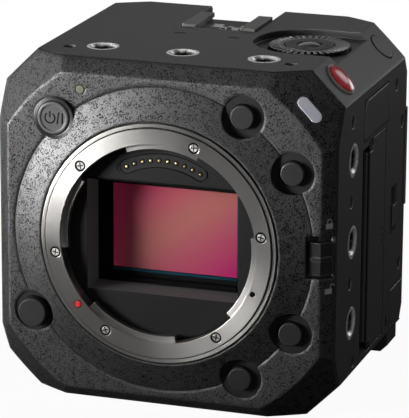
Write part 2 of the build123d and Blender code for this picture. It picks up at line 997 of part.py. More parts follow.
def sensor_chip():
    near = ring_face + flange_distance
    return centred_block(chip_width, chip_height, near, near + carrier_thickness)


def sensor_carrier():
    near = ring_face + flange_distance
    body = centred_block(carrier_width, carrier_height, near, near + carrier_thickness)
    for x in (-carrier_post_x, carrier_post_x):
        for z in (-carrier_post_z, carrier_post_z):
            body += rod_y(carrier_post_radius, boss_back, near + carrier_thickness / 2, x, axis_height + z)
    return body - centred_block(chip_width, chip_height, near - past, near + carrier_thickness + past)


def sensor_board():
    near = ring_face + flange_distance + carrier_thickness
    width = carrier_width - 2 * sensor_board_inset
    return centred_block(width, carrier_height - 2 * sensor_board_inset, near, near + circuit_board)


def button_cup(x, z, cap_radius, lip):
    back = front_wall + cup_flange
    body = rod_y(cup_radius, cup_floor, back, x, z) + rod_y(cup_flange_radius, front_wall, back, x, z)
    body -= rod_y(cap_radius + running_gap, 0, back + past, x, z)
    return body - rod_y(cap_radius + lip + flange_room, cup_floor + flange_setback, back + past, x, z)


def button_cups():
    cups = [button_cup(x, z, front_button_radius, button_flange_lip) for x, z in front_places]
    x, z = release_place
    cups.append(button_cup(x, z, release_radius, release_lip))
    return cups


def front_button(x, z):
    near = cup_floor + flange_setback
    cap = capped_rod(front_button_radius, -front_button_proud, near + button_flange, x, z)
    return cap + rod_y(front_button_radius + button_flange_lip, near, near + button_flange, x, z)


def power_ring():
    x, z = power_place
    back = front_wall + cup_flange
    body = rod_y(power_ring_radius, -power_ring_proud, back, x, z)
    body += rod_y(cup_flange_radius, front_wall, back, x, z)
    body -= rod_y(power_cap_radius + running_gap, -power_ring_proud - past, back + past, x, z)
    recess = power_cap_radius + power_lip + flange_room
    return body - rod_y(recess, cup_floor + flange_setback, back + past, x, z)


def power_button():
    x, z = power_place
    near = cup_floor + flange_setback
    cap = capped_rod(power_cap_radius, -power_proud, near + button_flange, x, z)
    cap += rod_y(power_cap_radius + power_lip, near, near + button_flange, x, z)
    return cap - rod_y(power_dish_radius, -power_proud - past, -power_proud + power_dish_depth, x, z)


def front_switch_board():
    near = front_wall + cup_flange
    ring = ring_sector(switch_board_inner, switch_board_outer, board_first_angle, board_last_angle)
    board = slab(ring & octagon(skin + frame_wall + slip), near, near + board_thickness)
    for x, z in front_places + [power_place]:
        board += rod_y(switch_radius, near - switch_height, near, x, z)
    return board


def status_led():
    return rod_y(led_radius, -led_proud, front_wall + cup_flange, *led_place)


def dial_well(radius, low, high):
    body = rod_z(radius, low, high, dial_x, dial_depth)
    reach = half_width - dial_x + 1
    return body + box_z(reach, 2 * radius, low, high, dial_x + reach / 2, dial_depth)


def well_pan():
    pan = dial_well(well_radius + pan_wall, pan_bottom, body_height - skin) & envelope
    return pan - chamfer_frame_holes()


def chamfer_rod(side, depth, radius, top, bottom):
    # A rod square to an upper chamfer, between two depths below its surface.
    middle = -(top + bottom) / 2
    return on_chamfer(side, depth) * Pos(0, 0, middle) * Cylinder(radius, bottom - top)


def chamfer_skin_holes():
    return [chamfer_rod(side, depth, hole, -past, skin) for side, depth, hole in chamfer_buttons]


def chamfer_frame_holes():
    bottom = chamfer_switch_depth + chamfer_switch_thickness
    return [chamfer_rod(side, depth, hole + chamfer_hole_margin, skin, bottom)
            for side, depth, hole in chamfer_buttons]


def chamfer_button(side, depth, radius):
    flange_bottom = skin + button_flange
    cap = chamfer_rod(side, depth, radius, -chamfer_button_proud, flange_bottom)
    return cap + chamfer_rod(side, depth, radius + chamfer_button_lip, skin, flange_bottom)


def rec_button():
    flange_bottom = skin + button_flange
    straight = rec_proud - rec_dome
    body = chamfer_rod(1, rec_depth, rec_radius, -straight, flange_bottom)
    ball = (rec_radius ** 2 + rec_dome ** 2) / (2 * rec_dome)
    dome = Pos(0, 0, rec_proud - ball) * Sphere(ball)
    dome &= Pos(0, 0, straight + rec_dome / 2) * Cylinder(rec_radius, rec_dome)
    body += on_chamfer(1, rec_depth) * dome
    return body + chamfer_rod(1, rec_depth, rec_bezel_radius, skin, flange_bottom)


def rec_bezel():
    outer = chamfer_rod(1, rec_depth, rec_bezel_radius, -rec_bezel_proud, skin)
    return outer - chamfer_rod(1, rec_depth, rec_radius + running_gap, -rec_bezel_proud - past, skin + past)


def chamfer_switches():
    pieces = []
    bottom = chamfer_switch_depth + chamfer_switch_thickness
    top = skin + button_flange + button_travel + plunger_gap
    for side, depth, hole in chamfer_buttons:
        plug = chamfer_rod(side, depth, hole + chamfer_hole_margin, chamfer_switch_depth, bottom)
        rise = Pos(0, 0, -(top + chamfer_switch_depth) / 2)
        plunger = on_chamfer(side, depth) * rise * Box(plunger_size, plunger_size, chamfer_switch_depth - top)
        pieces.append(plug + plunger)
    return pieces


def shoe_channel():
    half = shoe_channel_width / 2
    floor = body_height - shoe_floor_drop
    return block(-half, half, shoe_channel_start, body_depth + past, floor, body_height + past)


def microphone_slots():
    # Two short slots, cut part of the way into the top.
    slot = extrude(SlotOverall(microphone_length, microphone_width), -microphone_depth)
    return [Pos(x, at(depth), body_height) * slot for x, depth in microphone_places]


def top_cover():
    body = top_skin + well_pan()
    body -= dial_well(well_radius, floor_z, body_height + past)
    body -= rod_z(dial_cup_radius, dial_floor, body_height, dial_x, dial_depth)
    body -= shoe_channel()
    body -= insert_holes() + screw_seats()
    return body - chamfer_skin_holes() - microphone_slots() - lamp_room()


def base_cover():
    return base_skin - insert_holes() - screw_seats()


def vent_solid(x_low, x_high):
    return block(x_low, x_high, vent_depth, vent_depth + vent_width, vent_bottom, vent_top)


def left_cover():
    body = left_skin - vent_solid(-half_width - past, -half_width + skin + past)
    body -= insert_holes() + screw_seats()
    return cut_across(body, "Z", [vent_bottom, vent_top])


def port_outline(grow):
    front = port_cover_front - grow
    rear = port_cover_rear + grow
    low = port_cover_bottom - grow
    high = port_cover_top + grow
    cut = port_cover_corner
    return [(front, low), (rear, low), (rear, high), (front + cut, high), (front, high - cut)]


def door_opening(x_low, x_high):
    start = vent_depth + vent_width
    return block(x_low, x_high, start, door_rear + slip, door_bottom - slip, door_top + slip)


def low_cover_solid(grow):
    return block(half_width - skin, half_width + side_cover_proud, low_cover_front - grow, low_cover_rear,
                 low_cover_bottom, low_cover_top + grow)


def edge_cap():
    # A soft cap that wraps the rear bevel on the right.
    out = edge_cap_proud
    inner = cap_thickness - out
    root = sqrt(2) - 1
    corner = half_width - rear_bevel_side
    start = body_depth - rear_bevel_side
    points = [(half_width + out, edge_cap_front), (half_width + out, start + out * root),
              (corner + out * root, body_depth + out), (corner - edge_cap_wrap, body_depth + out),
              (corner - edge_cap_wrap, body_depth - inner), (corner - inner * root, body_depth - inner),
              (half_width - inner, start - inner * root), (half_width - inner, edge_cap_front)]
    return edge_slab(points, edge_cap_bottom, edge_cap_top)


def right_cover():
    inner = half_width - skin - past
    outer = half_width + past
    body = right_skin - vent_solid(inner, outer) - door_opening(inner, outer)
    body -= side_slab(port_outline(0), inner, outer)
    body -= block(inner, outer, low_cover_front, low_cover_rear + past, low_cover_bottom - past,
                  low_cover_top)
    body -= block(inner, outer, lock_slot_front, lock_slot_rear, lock_slot_bottom, lock_slot_top)
    body -= edge_cap()
    body = body - insert_holes() - screw_seats() - lamp_room()
    return cut_across(body, "Z", [vent_bottom, vent_top])


def port_cover():
    return side_slab(port_outline(-cover_gap), half_width - skin, half_width + side_cover_proud)


def low_cover():
    return low_cover_solid(-cover_gap) & right_skin


barrel_x = half_width - door_barrel
barrel_depth = door_front + door_barrel


def card_door():
    plate = block(half_width - door_thickness, half_width, barrel_depth, door_rear, door_bottom, door_top)
    barrel = rod_z(door_barrel, door_bottom, door_top, barrel_x, barrel_depth)
    body = plate + barrel
    lug_far = door_front + lug_reach + cover_gap
    below = door_bottom - past
    above = door_top + past
    for low, high in ((below, lug_low + cover_gap), (lug_high - cover_gap, above)):
        body -= block(half_width - door_pocket, half_width + past, door_front - past, lug_far, low, high)
    return body - rod_z(door_pin_radius + door_pin_gap, below, above, barrel_x, barrel_depth)


def door_hinge():
    body = rod_z(door_pin_radius, door_bottom, door_top, barrel_x, barrel_depth)
    near = door_front + lug_gap
    far = door_front + lug_reach
    for low, high in ((door_bottom, lug_low), (lug_high, door_top)):
        body += block(half_width - door_pocket, half_width - lug_sink, near, far, low, high)
    return body


def card_lock():
    front = lock_slot_front + cover_gap
    rear = lock_slot_rear - cover_gap
    low = lock_slot_bottom + card_lock_lift
    high = low + card_lock_height
    back = half_width - skin - running_gap
    knob = block(back, half_width + card_lock_proud, front, rear, low, high)
    return knob + block(back - card_lock_plate, back, front - card_lock_lip, rear + card_lock_lip,
                        low - card_lock_end, high + card_lock_end)


def card_lock_pocket():
    # Room in the frame for the lock's plate and its travel.
    deep = half_width - skin - card_lock_plate - 2 * running_gap
    reach = card_lock_lip - cover_gap + card_lock_room
    low = lock_slot_bottom + card_lock_lift - card_lock_end - card_lock_room
    high = lock_slot_bottom + card_lock_lift + card_lock_height + card_lock_end + card_lock_travel
    return block(deep, half_width - skin, lock_slot_front - reach, lock_slot_rear + reach,
                 low, high + card_lock_room)


def card_cases():
    cases = []
    near = main_board_depth + circuit_board
    outer = half_width - skin - frame_wall - slip
    for height in card_slot_heights:
        case = block(outer - card_case_length, outer, near, near + card_case_depth,
                     height - card_case_width / 2, height + card_case_width / 2)
        slot = block(outer - card_slot_length, outer + past, card_slot_depth - card_slot_gap / 2,
                     card_slot_depth + card_slot_gap / 2, height - card_slot_width / 2,
                     height + card_slot_width / 2)
        cases.append(case - slot)
    return cases


def heat_sink():
    near = bulkhead_depth + bulkhead_wall
    half = sink_width / 2
    body = block(-half, half, near, near + sink_plate, sink_bottom, sink_top)
    pitch = (sink_top - sink_bottom - fin_thickness) / (fin_count - 1)
    for count in range(fin_count):
        low = sink_bottom + pitch * count
        body += block(-half, half, near + sink_plate, duct_depth - gap, low, low + fin_thickness)
    return body


def board(near):
    return block(-board_half_width, board_half_width, near, near + circuit_board, board_bottom, board_top)


def spacer(near, far, x, z):
    return slab(Pos(x, z) * RegularPolygon(spacer_width / 2, 6, major_radius=False), near, far)


def spacer_places():
    low = board_bottom + spacer_inset
    high = board_top - spacer_inset
    side = board_half_width - spacer_inset
    return [(-side, low), (-side, high), (side, high), (half_width - low_spacer_setback, low)]


def board_spacers():
    front = [spacer(duct_depth + duct_wall, main_board_depth, x, z) for x, z in spacer_places()]
    start = main_board_depth + circuit_board
    return front + [spacer(start, rear_board_depth, x, z) for x, z in spacer_places()]


def dial_room():
    body = dial_well(well_radius + pan_wall, pan_bottom, body_height)
    return body + rod_z(dial_base_radius, dial_base_bottom, body_height, dial_x, dial_depth)


def frame_cuts():
    return [shoe_channel(), dial_room()] + chamfer_frame_holes() + insert_holes() + side_openings()


def frame_pads():
    room = slab(octagon(skin), front_cover_depth, frame_rear)
    return [pad & room for pad in insert_pads()]


def chassis():
    # The frame is a tube that is open at both ends, with a thick pad behind each threaded insert.
    # It is written as a floor, a roof and the parts of its two walls, which meet face to face.
    tube = slab(octagon(skin), front_cover_depth, frame_rear) & corner_cones(skin)
    tube -= slab(octagon(skin + frame_wall), front_cover_depth - past, frame_rear + past)
    body = tube + frame_pads() - frame_cuts()
    return cut_across(body, "Z", [vent_bottom, vent_top, body_height - edge_chamfer - past])


def shoe_bed():
    half = shoe_channel_width / 2 + frame_wall
    floor = body_height - shoe_floor_drop
    bed = block(-half, half, shoe_channel_start - frame_wall, frame_rear, floor - shoe_pad, floor)
    return bed & slab(octagon(skin + frame_wall), front_cover_depth, frame_rear)


def inner_walls():
    # The wall behind the sensor, the wall behind the duct, and the bed under the shoe.
    inside = octagon(skin + frame_wall)
    front = slab(inside, bulkhead_depth, bulkhead_depth + bulkhead_wall) & corner_cones(corner_wall)
    rear = slab(inside, duct_depth, duct_depth + duct_wall)
    return [wall - frame_pads() - frame_cuts() for wall in (front, rear, shoe_bed())]


def side_openings():
    inner = half_width - skin - frame_wall - past
    outer = half_width - skin + past
    openings = [vent_solid(inner, outer), mirrored(vent_solid(inner, outer))]
    openings.append(block(half_width - door_pocket, outer, vent_depth + vent_width,
                          door_front + lug_reach + slip, door_bottom - slip, door_top + slip))
    openings.append(block(inner, outer, card_window_front, card_window_rear, card_window_bottom,
                          card_window_top))
    return openings + [card_lock_pocket()]


def accessory_shoe():
    floor = body_height - shoe_floor_drop
    top = body_height + shoe_rise
    far = shoe_start + shoe_length
    half = shoe_width / 2
    body = block(-half, half, shoe_start, far, floor, top)
    slot_start = shoe_start + shoe_stop
    slot_floor = floor + shoe_plate
    reach = shoe_slot_width / 2
    body -= block(-reach, reach, slot_start, far + past, slot_floor, top - shoe_lip)
    body -= block(-shoe_lip_gap / 2, shoe_lip_gap / 2, slot_start, far + past, slot_floor, top + past)
    # Between the lips the stop at the front end stays a little below the top of the camera.
    stop_top = body_height - shoe_stop_drop
    return body - block(-shoe_lip_gap / 2, shoe_lip_gap / 2, shoe_start - past, far, stop_top, top + past)


def shoe_spring():
    # A bowed strip that presses the foot of an accessory up against the lips.
    low = body_height - shoe_floor_drop + shoe_plate
    near = at(shoe_start + shoe_stop + shoe_spring_setback)
    far = near + shoe_spring_length
    middle = (near + far) / 2
    lower = ThreePointArc((near, low), (middle, low + shoe_spring_arch), (far, low))
    rise = shoe_spring_thickness
    upper = ThreePointArc((far, low + rise), (middle, low + shoe_spring_arch + rise), (near, low + rise))
    ends = [Line((far, low), (far, low + rise)), Line((near, low + rise), (near, low))]
    outline = make_face([lower, ends[0], upper, ends[1]])
    place = Plane(origin=(-shoe_spring_width / 2, 0, 0), x_dir=(0, 1, 0), z_dir=(1, 0, 0))
    return extrude(place * outline, shoe_spring_width)


def dial_base():
    inner = rod_z(dial_base_radius, dial_base_bottom, pan_bottom, dial_x, dial_depth)
    body = inner & slab(octagon(skin), 0, body_depth)
    body -= rod_z(dial_cup_radius, dial_floor, pan_bottom + past, dial_x, dial_depth)
    collar_top = floor_z + cursor_rise - cursor_thickness - collar_drop
    collar = rod_z(collar_radius, dial_base_bottom, collar_top, dial_x, dial_depth)
    body += collar
    body -= rod_z(skirt_radius + collar_running_gap, dial_floor, collar_top + past, dial_x, dial_depth)
    stop = menu_stem_bottom - button_travel - plunger_gap
    return body + rod_z(menu_radius, dial_floor, stop, dial_x, dial_depth)


def control_dial():
    top = floor_z + dial_rise
    body = rod_z(dial_radius, dial_floor + dial_lift, top, dial_x, dial_depth)
    body -= rod_z(collar_radius + collar_running_gap, dial_floor, top + past, dial_x, dial_depth)
    length = dial_radius - dial_tooth_inner + past
    middle = dial_tooth_inner + length / 2
    groove = box_z(length, dial_tooth_gap, top - dial_tooth_depth, top + past, middle, body_depth / 2)
    grooves = [Pos(dial_x, at(dial_depth), 0) * Rot(0, 0, 360 / dial_tooth_count * count) * groove
               for count in range(dial_tooth_count)]
    return body - grooves


def cursor_ring():
    top = floor_z + cursor_rise
    under = top - cursor_thickness
    body = rod_z(cursor_radius, under, top, dial_x, dial_depth)
    body += rod_z(skirt_radius, skirt_bottom, top, dial_x, dial_depth)
    body -= rod_z(skirt_radius - cursor_skirt_wall, skirt_bottom - past, under, dial_x, dial_depth)
    return body - rod_z(menu_hole, under - past, top + past, dial_x, dial_depth)


def menu_button():
    top = floor_z + menu_rise
    straight = top - menu_dome
    under = floor_z + cursor_rise - cursor_thickness - menu_flange_gap
    body = rod_z(menu_radius, menu_stem_bottom, straight, dial_x, dial_depth)
    body += rod_z(menu_flange_radius, under - menu_flange, under, dial_x, dial_depth)
    ball = (menu_radius ** 2 + menu_dome ** 2) / (2 * menu_dome)
    dome = Pos(dial_x, at(dial_depth), top - ball) * Sphere(ball)
    return body + (dome & rod_z(menu_radius, straight, top, dial_x, dial_depth))


def rear_panel():
    body = slice_of_envelope(frame_rear, body_depth + past) - all_skins
    body -= hollow_inside(frame_rear, body_depth - rear_wall)
    body -= shoe_channel()
    body -= edge_cap()
    body -= battery_solid(body_depth - battery_sink, body_depth + past)
    half = network_width / 2
    wall = body_depth - rear_wall - 1
    far = body_depth + 1
    body -= block(network_x - half, network_x + half, wall, far, network_z - network_height / 2,
                  network_z + network_height / 2)
    half = video_box_width / 2
    body -= block(network_x - half, network_x + half, wall, far, video_box_z - video_box_height / 2,
                  video_box_z + video_box_height / 2)
    for height in video_jack_heights:
        body -= rod_y(video_jack_radius, wall, far, video_jack_x, height)
    body -= rod_y(inlet_radius, wall, far, inlet_x, inlet_z)
    channel = shoe_channel_width / 2
    return cut_across(body, "X", [-channel, channel, network_x - half, network_x + half])


def battery_solid(near, far):
    outline = Pos(battery_x, battery_z) * RectangleRounded(battery_width, battery_height, battery_corner)
    return slab(outline, near, far)


def battery_plate():
    far = body_depth + battery_proud
    body = battery_solid(body_depth - battery_sink, far)
    for side in (-1, 1):
        x = battery_x + side * battery_rail_spacing / 2
        half = battery_rail_width / 2
        reach = battery_rail_length / 2
        body -= block(x - half, x + half, far - battery_rail_depth, far + past, battery_z - reach,
                      battery_z + reach)
    half = battery_terminal_width / 2
    body += block(battery_x - half, battery_x + half, far, far + battery_terminal_proud, terminal_bottom,
                  terminal_top)
    hole = battery_latch_radius + running_gap
    body -= rod_y(hole, body_depth - battery_sink - past, far + past, battery_x, battery_latch_z)
    return body - battery_terminals()


def battery_terminals():
    blades = []
    far = body_depth + battery_proud + battery_terminal_proud
    pitch = battery_terminal_width / (battery_terminal_count + 1)
    for count in range(battery_terminal_count):
        x = battery_x - battery_terminal_width / 2 + pitch * (count + 1)
        blades.append(block(x - battery_blade_width / 2, x + battery_blade_width / 2,
                            far - battery_blade_length, far + battery_blade_proud,
                            terminal_bottom + battery_blade_inset, terminal_top - battery_blade_inset))
    return blades


def battery_latch():
    near = body_depth - battery_sink + battery_latch_travel + plunger_gap
    far = body_depth + battery_proud + battery_latch_proud
    return rod_y(battery_latch_radius, near, far, battery_x, battery_latch_z)


def network_jack():
    near = rear_board_depth + circuit_board
    far = body_depth + socket_proud
    half = network_width / 2
    body = block(network_x - half, network_x + half, near, far, network_z - network_height / 2,
                 network_z + network_height / 2)
    half = network_opening_width / 2
    low = network_z - network_opening_height / 2
    return body - block(network_x - half, network_x + half, far - network_opening_depth, far + past, low,
                        low + network_opening_height)


def video_socket():
    near = rear_board_depth + circuit_board
    far = body_depth + socket_proud
    half = video_box_width / 2
    body = block(network_x - half, network_x + half, near, far, video_box_z - video_box_height / 2,
                 video_box_z + video_box_height / 2)
    half = video_opening_width / 2
    low = video_box_z - video_opening_height / 2
    return body - block(network_x - half, network_x + half, far - network_opening_depth, far + past, low,
                        low + video_opening_height)


def video_jacks():
    jacks = []
    near = rear_board_depth + circuit_board
    far = body_depth + video_jack_proud
    for height in video_jack_heights:
        body = rod_y(video_jack_radius, near, far, video_jack_x, height)
        flange_far = body_depth + video_jack_flange_thickness
        body += rod_y(video_jack_flange, body_depth, flange_far, video_jack_x, height)
        hollow = far - video_jack_hollow
        body -= rod_y(video_jack_radius - video_jack_wall, hollow, far + past, video_jack_x, height)
        tip = far - video_jack_core_setback
        body += rod_y(video_jack_core_radius, hollow - slip, tip, video_jack_x, height)
        jacks.append(body)
    return jacks


def power_inlet():
    near = rear_board_depth + circuit_board
    far = body_depth + socket_proud
    body = rod_y(inlet_radius, near, far, inlet_x, inlet_z)
    hollow = far - inlet_hollow
    body -= rod_y(inlet_bore, hollow, far + past, inlet_x, inlet_z)
    return body + rod_y(inlet_pin_radius, hollow - slip, far - inlet_pin_setback, inlet_x, inlet_z)


def rear_feet():
    span = foot_half_span
    corners = [(span - foot_width, 0), (span - foot_chamfer, 0), (span, foot_chamfer), (span, foot_height),
               (span - foot_width, foot_height)]
    outline = make_face(Polyline(*corners, close=True))
    foot = slab(outline, body_depth - foot_length, body_depth) - envelope
    return [foot, mirrored(foot)]


def write(name, shape):
    solids = shape if isinstance(shape, list) else [shape]
    pieces = []
    for piece in solids:
        pieces += piece.solids()
    export_step(Compound(children=pieces) if len(pieces) > 1 else pieces[0], f"parts/{name}.step")


def build():
    nodes = {
        "front_cover": front_cover(),
        "mount_disc": mount_disc(),
        "lens_mount_ring": lens_mount_ring(),
        "mount_screws": mount_screws(),
        "mount_index_dot": mount_index_dot(),
        "lock_pin": lock_pin(),
        "lens_release_button": lens_release_button(),
        "light_box": light_box(),
        "contact_block": contact_block(),
        "contact_pins": contact_pins(),
        "sensor_mask": sensor_mask(),
        "sensor_filter": sensor_filter(),
        "sensor_chip": sensor_chip(),
        "sensor_carrier": sensor_carrier() + filter_holder(),
        "button_cups": button_cups(),
        "power_ring": power_ring(),
        "power_button": power_button(),
        "status_led": status_led(),
        "tally_lamp": lamp_solid(0, -lamp_seat, lamp_proud),
        "lock_slider": lock_slider(),
        "top_cover": top_cover(),
        "left_cover": left_cover(),
        "right_cover": right_cover(),
        "base_cover": base_cover(),
        "chassis": chassis(),
        "inner_walls": inner_walls(),
        "thread_inserts": thread_inserts(),
        "case_screws": case_screws(),
        "accessory_shoe": accessory_shoe(),
        "shoe_spring": shoe_spring(),
        "dial_base": dial_base(),
        "control_dial": control_dial(),
        "cursor_ring": cursor_ring(),
        "menu_button": menu_button(),
        "rec_button": rec_button(),
        "rec_bezel": rec_bezel(),
        "display_button": chamfer_button(1, display_depth, display_radius),
        "button_switches": [front_switch_board()] + chamfer_switches(),
        "heat_sink": heat_sink(),
        "circuit_boards": [board(main_board_depth), board(rear_board_depth), sensor_board()],
        "board_spacers": board_spacers(),
        "card_door": card_door(),
        "door_hinge": door_hinge(),
        "card_lock": card_lock(),
        "card_cases": card_cases(),
        "side_covers": [port_cover(), low_cover(), edge_cap()],
        "rear_panel": rear_panel(),
        "battery_plate": battery_plate(),
        "battery_terminals": battery_terminals(),
        "battery_latch": battery_latch(),
        "rear_sockets": [network_jack(), video_socket(), power_inlet()],
        "video_jacks": video_jacks(),
        "rear_feet": rear_feet(),
    }
    for count, (x, z) in enumerate(front_places, start=1):
        nodes[f"fn_button_{count}"] = front_button(x, z)
    for count, depth in enumerate(left_button_depths, start=1):
        nodes[f"left_button_{count}"] = chamfer_button(-1, depth, left_button_radius)
    return nodes


os.makedirs("parts", exist_ok=True)
for name, shape in build().items():
    write(name, shape)
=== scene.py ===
import bpy
import bmesh
import json
import math
from mathutils import Matrix, Vector


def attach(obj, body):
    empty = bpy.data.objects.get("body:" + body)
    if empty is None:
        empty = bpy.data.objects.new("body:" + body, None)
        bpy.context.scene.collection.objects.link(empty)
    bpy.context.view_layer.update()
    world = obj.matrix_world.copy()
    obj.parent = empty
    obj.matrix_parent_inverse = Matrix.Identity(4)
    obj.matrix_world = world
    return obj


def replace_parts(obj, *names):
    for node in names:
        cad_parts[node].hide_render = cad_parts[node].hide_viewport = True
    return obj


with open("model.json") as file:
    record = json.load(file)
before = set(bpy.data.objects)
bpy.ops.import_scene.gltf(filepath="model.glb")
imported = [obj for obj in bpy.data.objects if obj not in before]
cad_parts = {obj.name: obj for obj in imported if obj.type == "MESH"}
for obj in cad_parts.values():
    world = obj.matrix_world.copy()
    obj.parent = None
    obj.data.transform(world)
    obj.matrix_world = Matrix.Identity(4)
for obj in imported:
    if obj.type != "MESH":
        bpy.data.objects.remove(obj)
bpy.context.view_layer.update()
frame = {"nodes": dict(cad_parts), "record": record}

cadNodes = frame["nodes"]
mm = 0.001
axisHeight = 46.3 * mm        # the lens axis above the base
frontFlat = -36.95 * mm       # the flat of the front cover along Y
sideFlat = 46.5 * mm          # the flat of the side covers along X
topFlat = 93 * mm             # the flat of the top cover
dialCentre = (27.6 * mm, 2.8 * mm)
powerCentre = (-29.66 * mm, 77.0 * mm)


def say(words):
    print("stage:", words)


# Camera, where the photograph was taken from

camera = {
    "lens": 262.46, "sensor": 36,     # both in millimetres, the sensor along its long side
    "place": (0.24931, -0.75536, 0.27383),
    "turn": 18.306,                   # degrees to the left of straight ahead
    "dip": 16.057,                    # degrees downwards
    "roll": 0.336,
    "near": 0.01, "far": 20,
}


def makeCamera():
    data = bpy.data.cameras.new("camera")
    data.sensor_width = camera["sensor"]
    data.lens = camera["lens"]
    data.clip_start = camera["near"]
    data.clip_end = camera["far"]
    holder = bpy.data.objects.new("camera", data)
    bpy.context.scene.collection.objects.link(holder)
    turn = Matrix.Rotation(math.radians(camera["turn"]), 4, "Z")
    tip = Matrix.Rotation(math.radians(90 - camera["dip"]), 4, "X")
    roll = Matrix.Rotation(math.radians(camera["roll"]), 4, "Z")
    holder.matrix_world = Matrix.Translation(camera["place"]) @ turn @ tip @ roll
    bpy.context.scene.camera = holder


# Node helpers

def feed(tree, socket, value):
    if isinstance(value, bpy.types.NodeSocket):
        tree.links.new(value, socket)
    else:
        socket.default_value = value


def put(tree, kind, inputs=None, **settings):
    node = tree.nodes.new(kind)
    for key, value in settings.items():
        setattr(node, key, value)
    for key, value in (inputs or {}).items():
        feed(tree, node.inputs[key], value)
    return node


def calc(tree, operation, a, b=0.0):
    return put(tree, "ShaderNodeMath", {0: a, 1: b}, operation=operation).outputs[0]


def calcVector(tree, operation, a, b=(0.0, 0.0, 0.0)):
    node = put(tree, "ShaderNodeVectorMath", {0: a, 1: b}, operation=operation)
    return node.outputs["Value" if operation in ("LENGTH", "DOT_PRODUCT") else "Vector"]


def times(tree, a, b):
    return calc(tree, "MULTIPLY", a, b)


def startMaterial(name):
    material = bpy.data.materials.new(name)
    material.use_nodes = True
    tree = material.node_tree
    return material, tree, put(tree, "ShaderNodeTexCoord").outputs["Object"]


def shaderOf(material):
    return material.node_tree.nodes["Principled BSDF"]


def dress(material, values):
    for name, value in values.items():
        feed(material.node_tree, shaderOf(material).inputs[name], value)
    return material


def axes(tree, place):
    return put(tree, "ShaderNodeSeparateXYZ", {0: place}).outputs


def noise(tree, place, scale, detail=3.0, roughness=0.5):
    inputs = {"Vector": place, "Scale": scale, "Detail": detail, "Roughness": roughness}
    return put(tree, "ShaderNodeTexNoise", inputs).outputs["Fac"]


def remap(tree, value, low, high, outLow=0.0, outHigh=1.0):
    node = put(tree, "ShaderNodeMapRange", {0: value, 1: low, 2: high, 3: outLow, 4: outHigh})
    node.clamp = True
    return node.outputs[0]


def overNoise(tree, value, outLow, outHigh):
    # a noise hardly leaves the range from 0.3 to 0.7
    return remap(tree, value, 0.3, 0.7, outLow, outHigh)


def unevenGloss(tree, value, roughness, spread):
    return overNoise(tree, value, roughness + spread[0], roughness + spread[1])


def blendColour(tree, amount, first, second):
    node = put(tree, "ShaderNodeMix", data_type="RGBA")
    feed(tree, node.inputs["Factor"], amount)
    feed(tree, node.inputs[6], first)
    feed(tree, node.inputs[7], second)
    return node.outputs[2]


def grey(level, warmth=0.0):
    return (level * (1 + warmth), level, level * (1 - warmth), 1)


def shade(colour, amount):
    return tuple(min(part * amount, 1) for part in colour) + (1,)


def softNormal(tree, radius):
    return put(tree, "ShaderNodeBevel", {"Radius": radius}, samples=6).outputs[0]


fullLean = 0.25 / 0.9         # how far a rounded normal leans where an edge counts in full


def edgeHighlightMask(tree, radius, share):
    # the rounded normal, and how far it leans from the flat one: much along sharp edges; the lean is the
    # mask for a lighter colour along edges, a painted highlight
    soft = softNormal(tree, radius)
    flat = put(tree, "ShaderNodeNewGeometry").outputs["Normal"]
    lean = calcVector(tree, "DOT_PRODUCT", soft, flat)
    return soft, times(tree, remap(tree, lean, 1.0, 1.0 - fullLean), share)


def bump(tree, height, depth, strength, normal):
    inputs = {"Height": height, "Distance": depth, "Strength": strength, "Normal": normal}
    return put(tree, "ShaderNodeBump", inputs).outputs[0]


# Crinkle paint on the front cover and the mount disc

crinkle = {
    # the pit colour is a painted shade, and the edge colour a painted highlight along edges
    "paint": 0.016, "pitShade": 0.0004, "edge": 0.1, "edgeLightShare": 0.5,
    "speckScale": 2700, "speckLow": 0.41, "speckHigh": 0.47,
    "patchScale": 540, "patchLift": 0.3, "patchDark": 0.82, "patchLight": 1.15,
    "fineScale": 4590, "reliefShare": 0.7, "grain": 0.14 * mm, "grainStrength": 0.5,
    "roughness": (0.4, 0.5), "gloss": 0.68, "pitGloss": 0.14,
}


def crinklePaint(name, softness):
    # pits sunk by the bump into a dark grey paint and coloured black, a painted shade, with fine glossy
    # grains between them; a lighter colour along edges is a painted highlight
    material, tree, place = startMaterial(name)
    blotch = noise(tree, place, crinkle["speckScale"], 2.0)
    patch = noise(tree, place, crinkle["patchScale"], 2.0)
    lift = times(tree, calc(tree, "SUBTRACT", patch, 0.5), crinkle["patchLift"])
    lifted = calc(tree, "ADD", blotch, lift)
    specks = remap(tree, lifted, crinkle["speckLow"], crinkle["speckHigh"])
    soft, edges = edgeHighlightMask(tree, softness, crinkle["edgeLightShare"])
    cloud = overNoise(tree, patch, crinkle["patchDark"], crinkle["patchLight"])
    ground = blendColour(tree, cloud, grey(0), grey(crinkle["paint"]))
    body = blendColour(tree, specks, grey(crinkle["pitShade"]), ground)
    fine = noise(tree, place, crinkle["fineScale"], 2.0, 0.6)
    height = times(tree, calc(tree, "ADD", specks, fine), crinkle["reliefShare"])
    return dress(material, {
        "Base Color": blendColour(tree, edges, body, grey(crinkle["edge"])),
        "Normal": bump(tree, height, crinkle["grain"], crinkle["grainStrength"], soft),
        "Roughness": overNoise(tree, fine, *crinkle["roughness"]),
        "Specular IOR Level": remap(tree, specks, 0, 1, crinkle["pitGloss"], crinkle["gloss"])})


# Satin paint on the other covers, with a lighter colour along edges as a painted highlight, left out
# where a cover's solids meet face to face

seams = {
    "side": (("Z", 11.5 * mm), ("Z", 68 * mm)),
    "rear": (("X", -10.7 * mm), ("X", 10.7 * mm), ("X", 17.0 * mm), ("X", 32.0 * mm)),
    "clearFrom": 0.7 * mm, "clearTo": 0.9 * mm,
}
satin = {"cloudScale": 90, "dark": 0.86, "light": 1.12, "edgeLightShare": 0.6,
         "grainScale": 3800, "grain": 0.03 * mm, "grainStrength": 0.5, "spread": (-0.05, 0.08)}


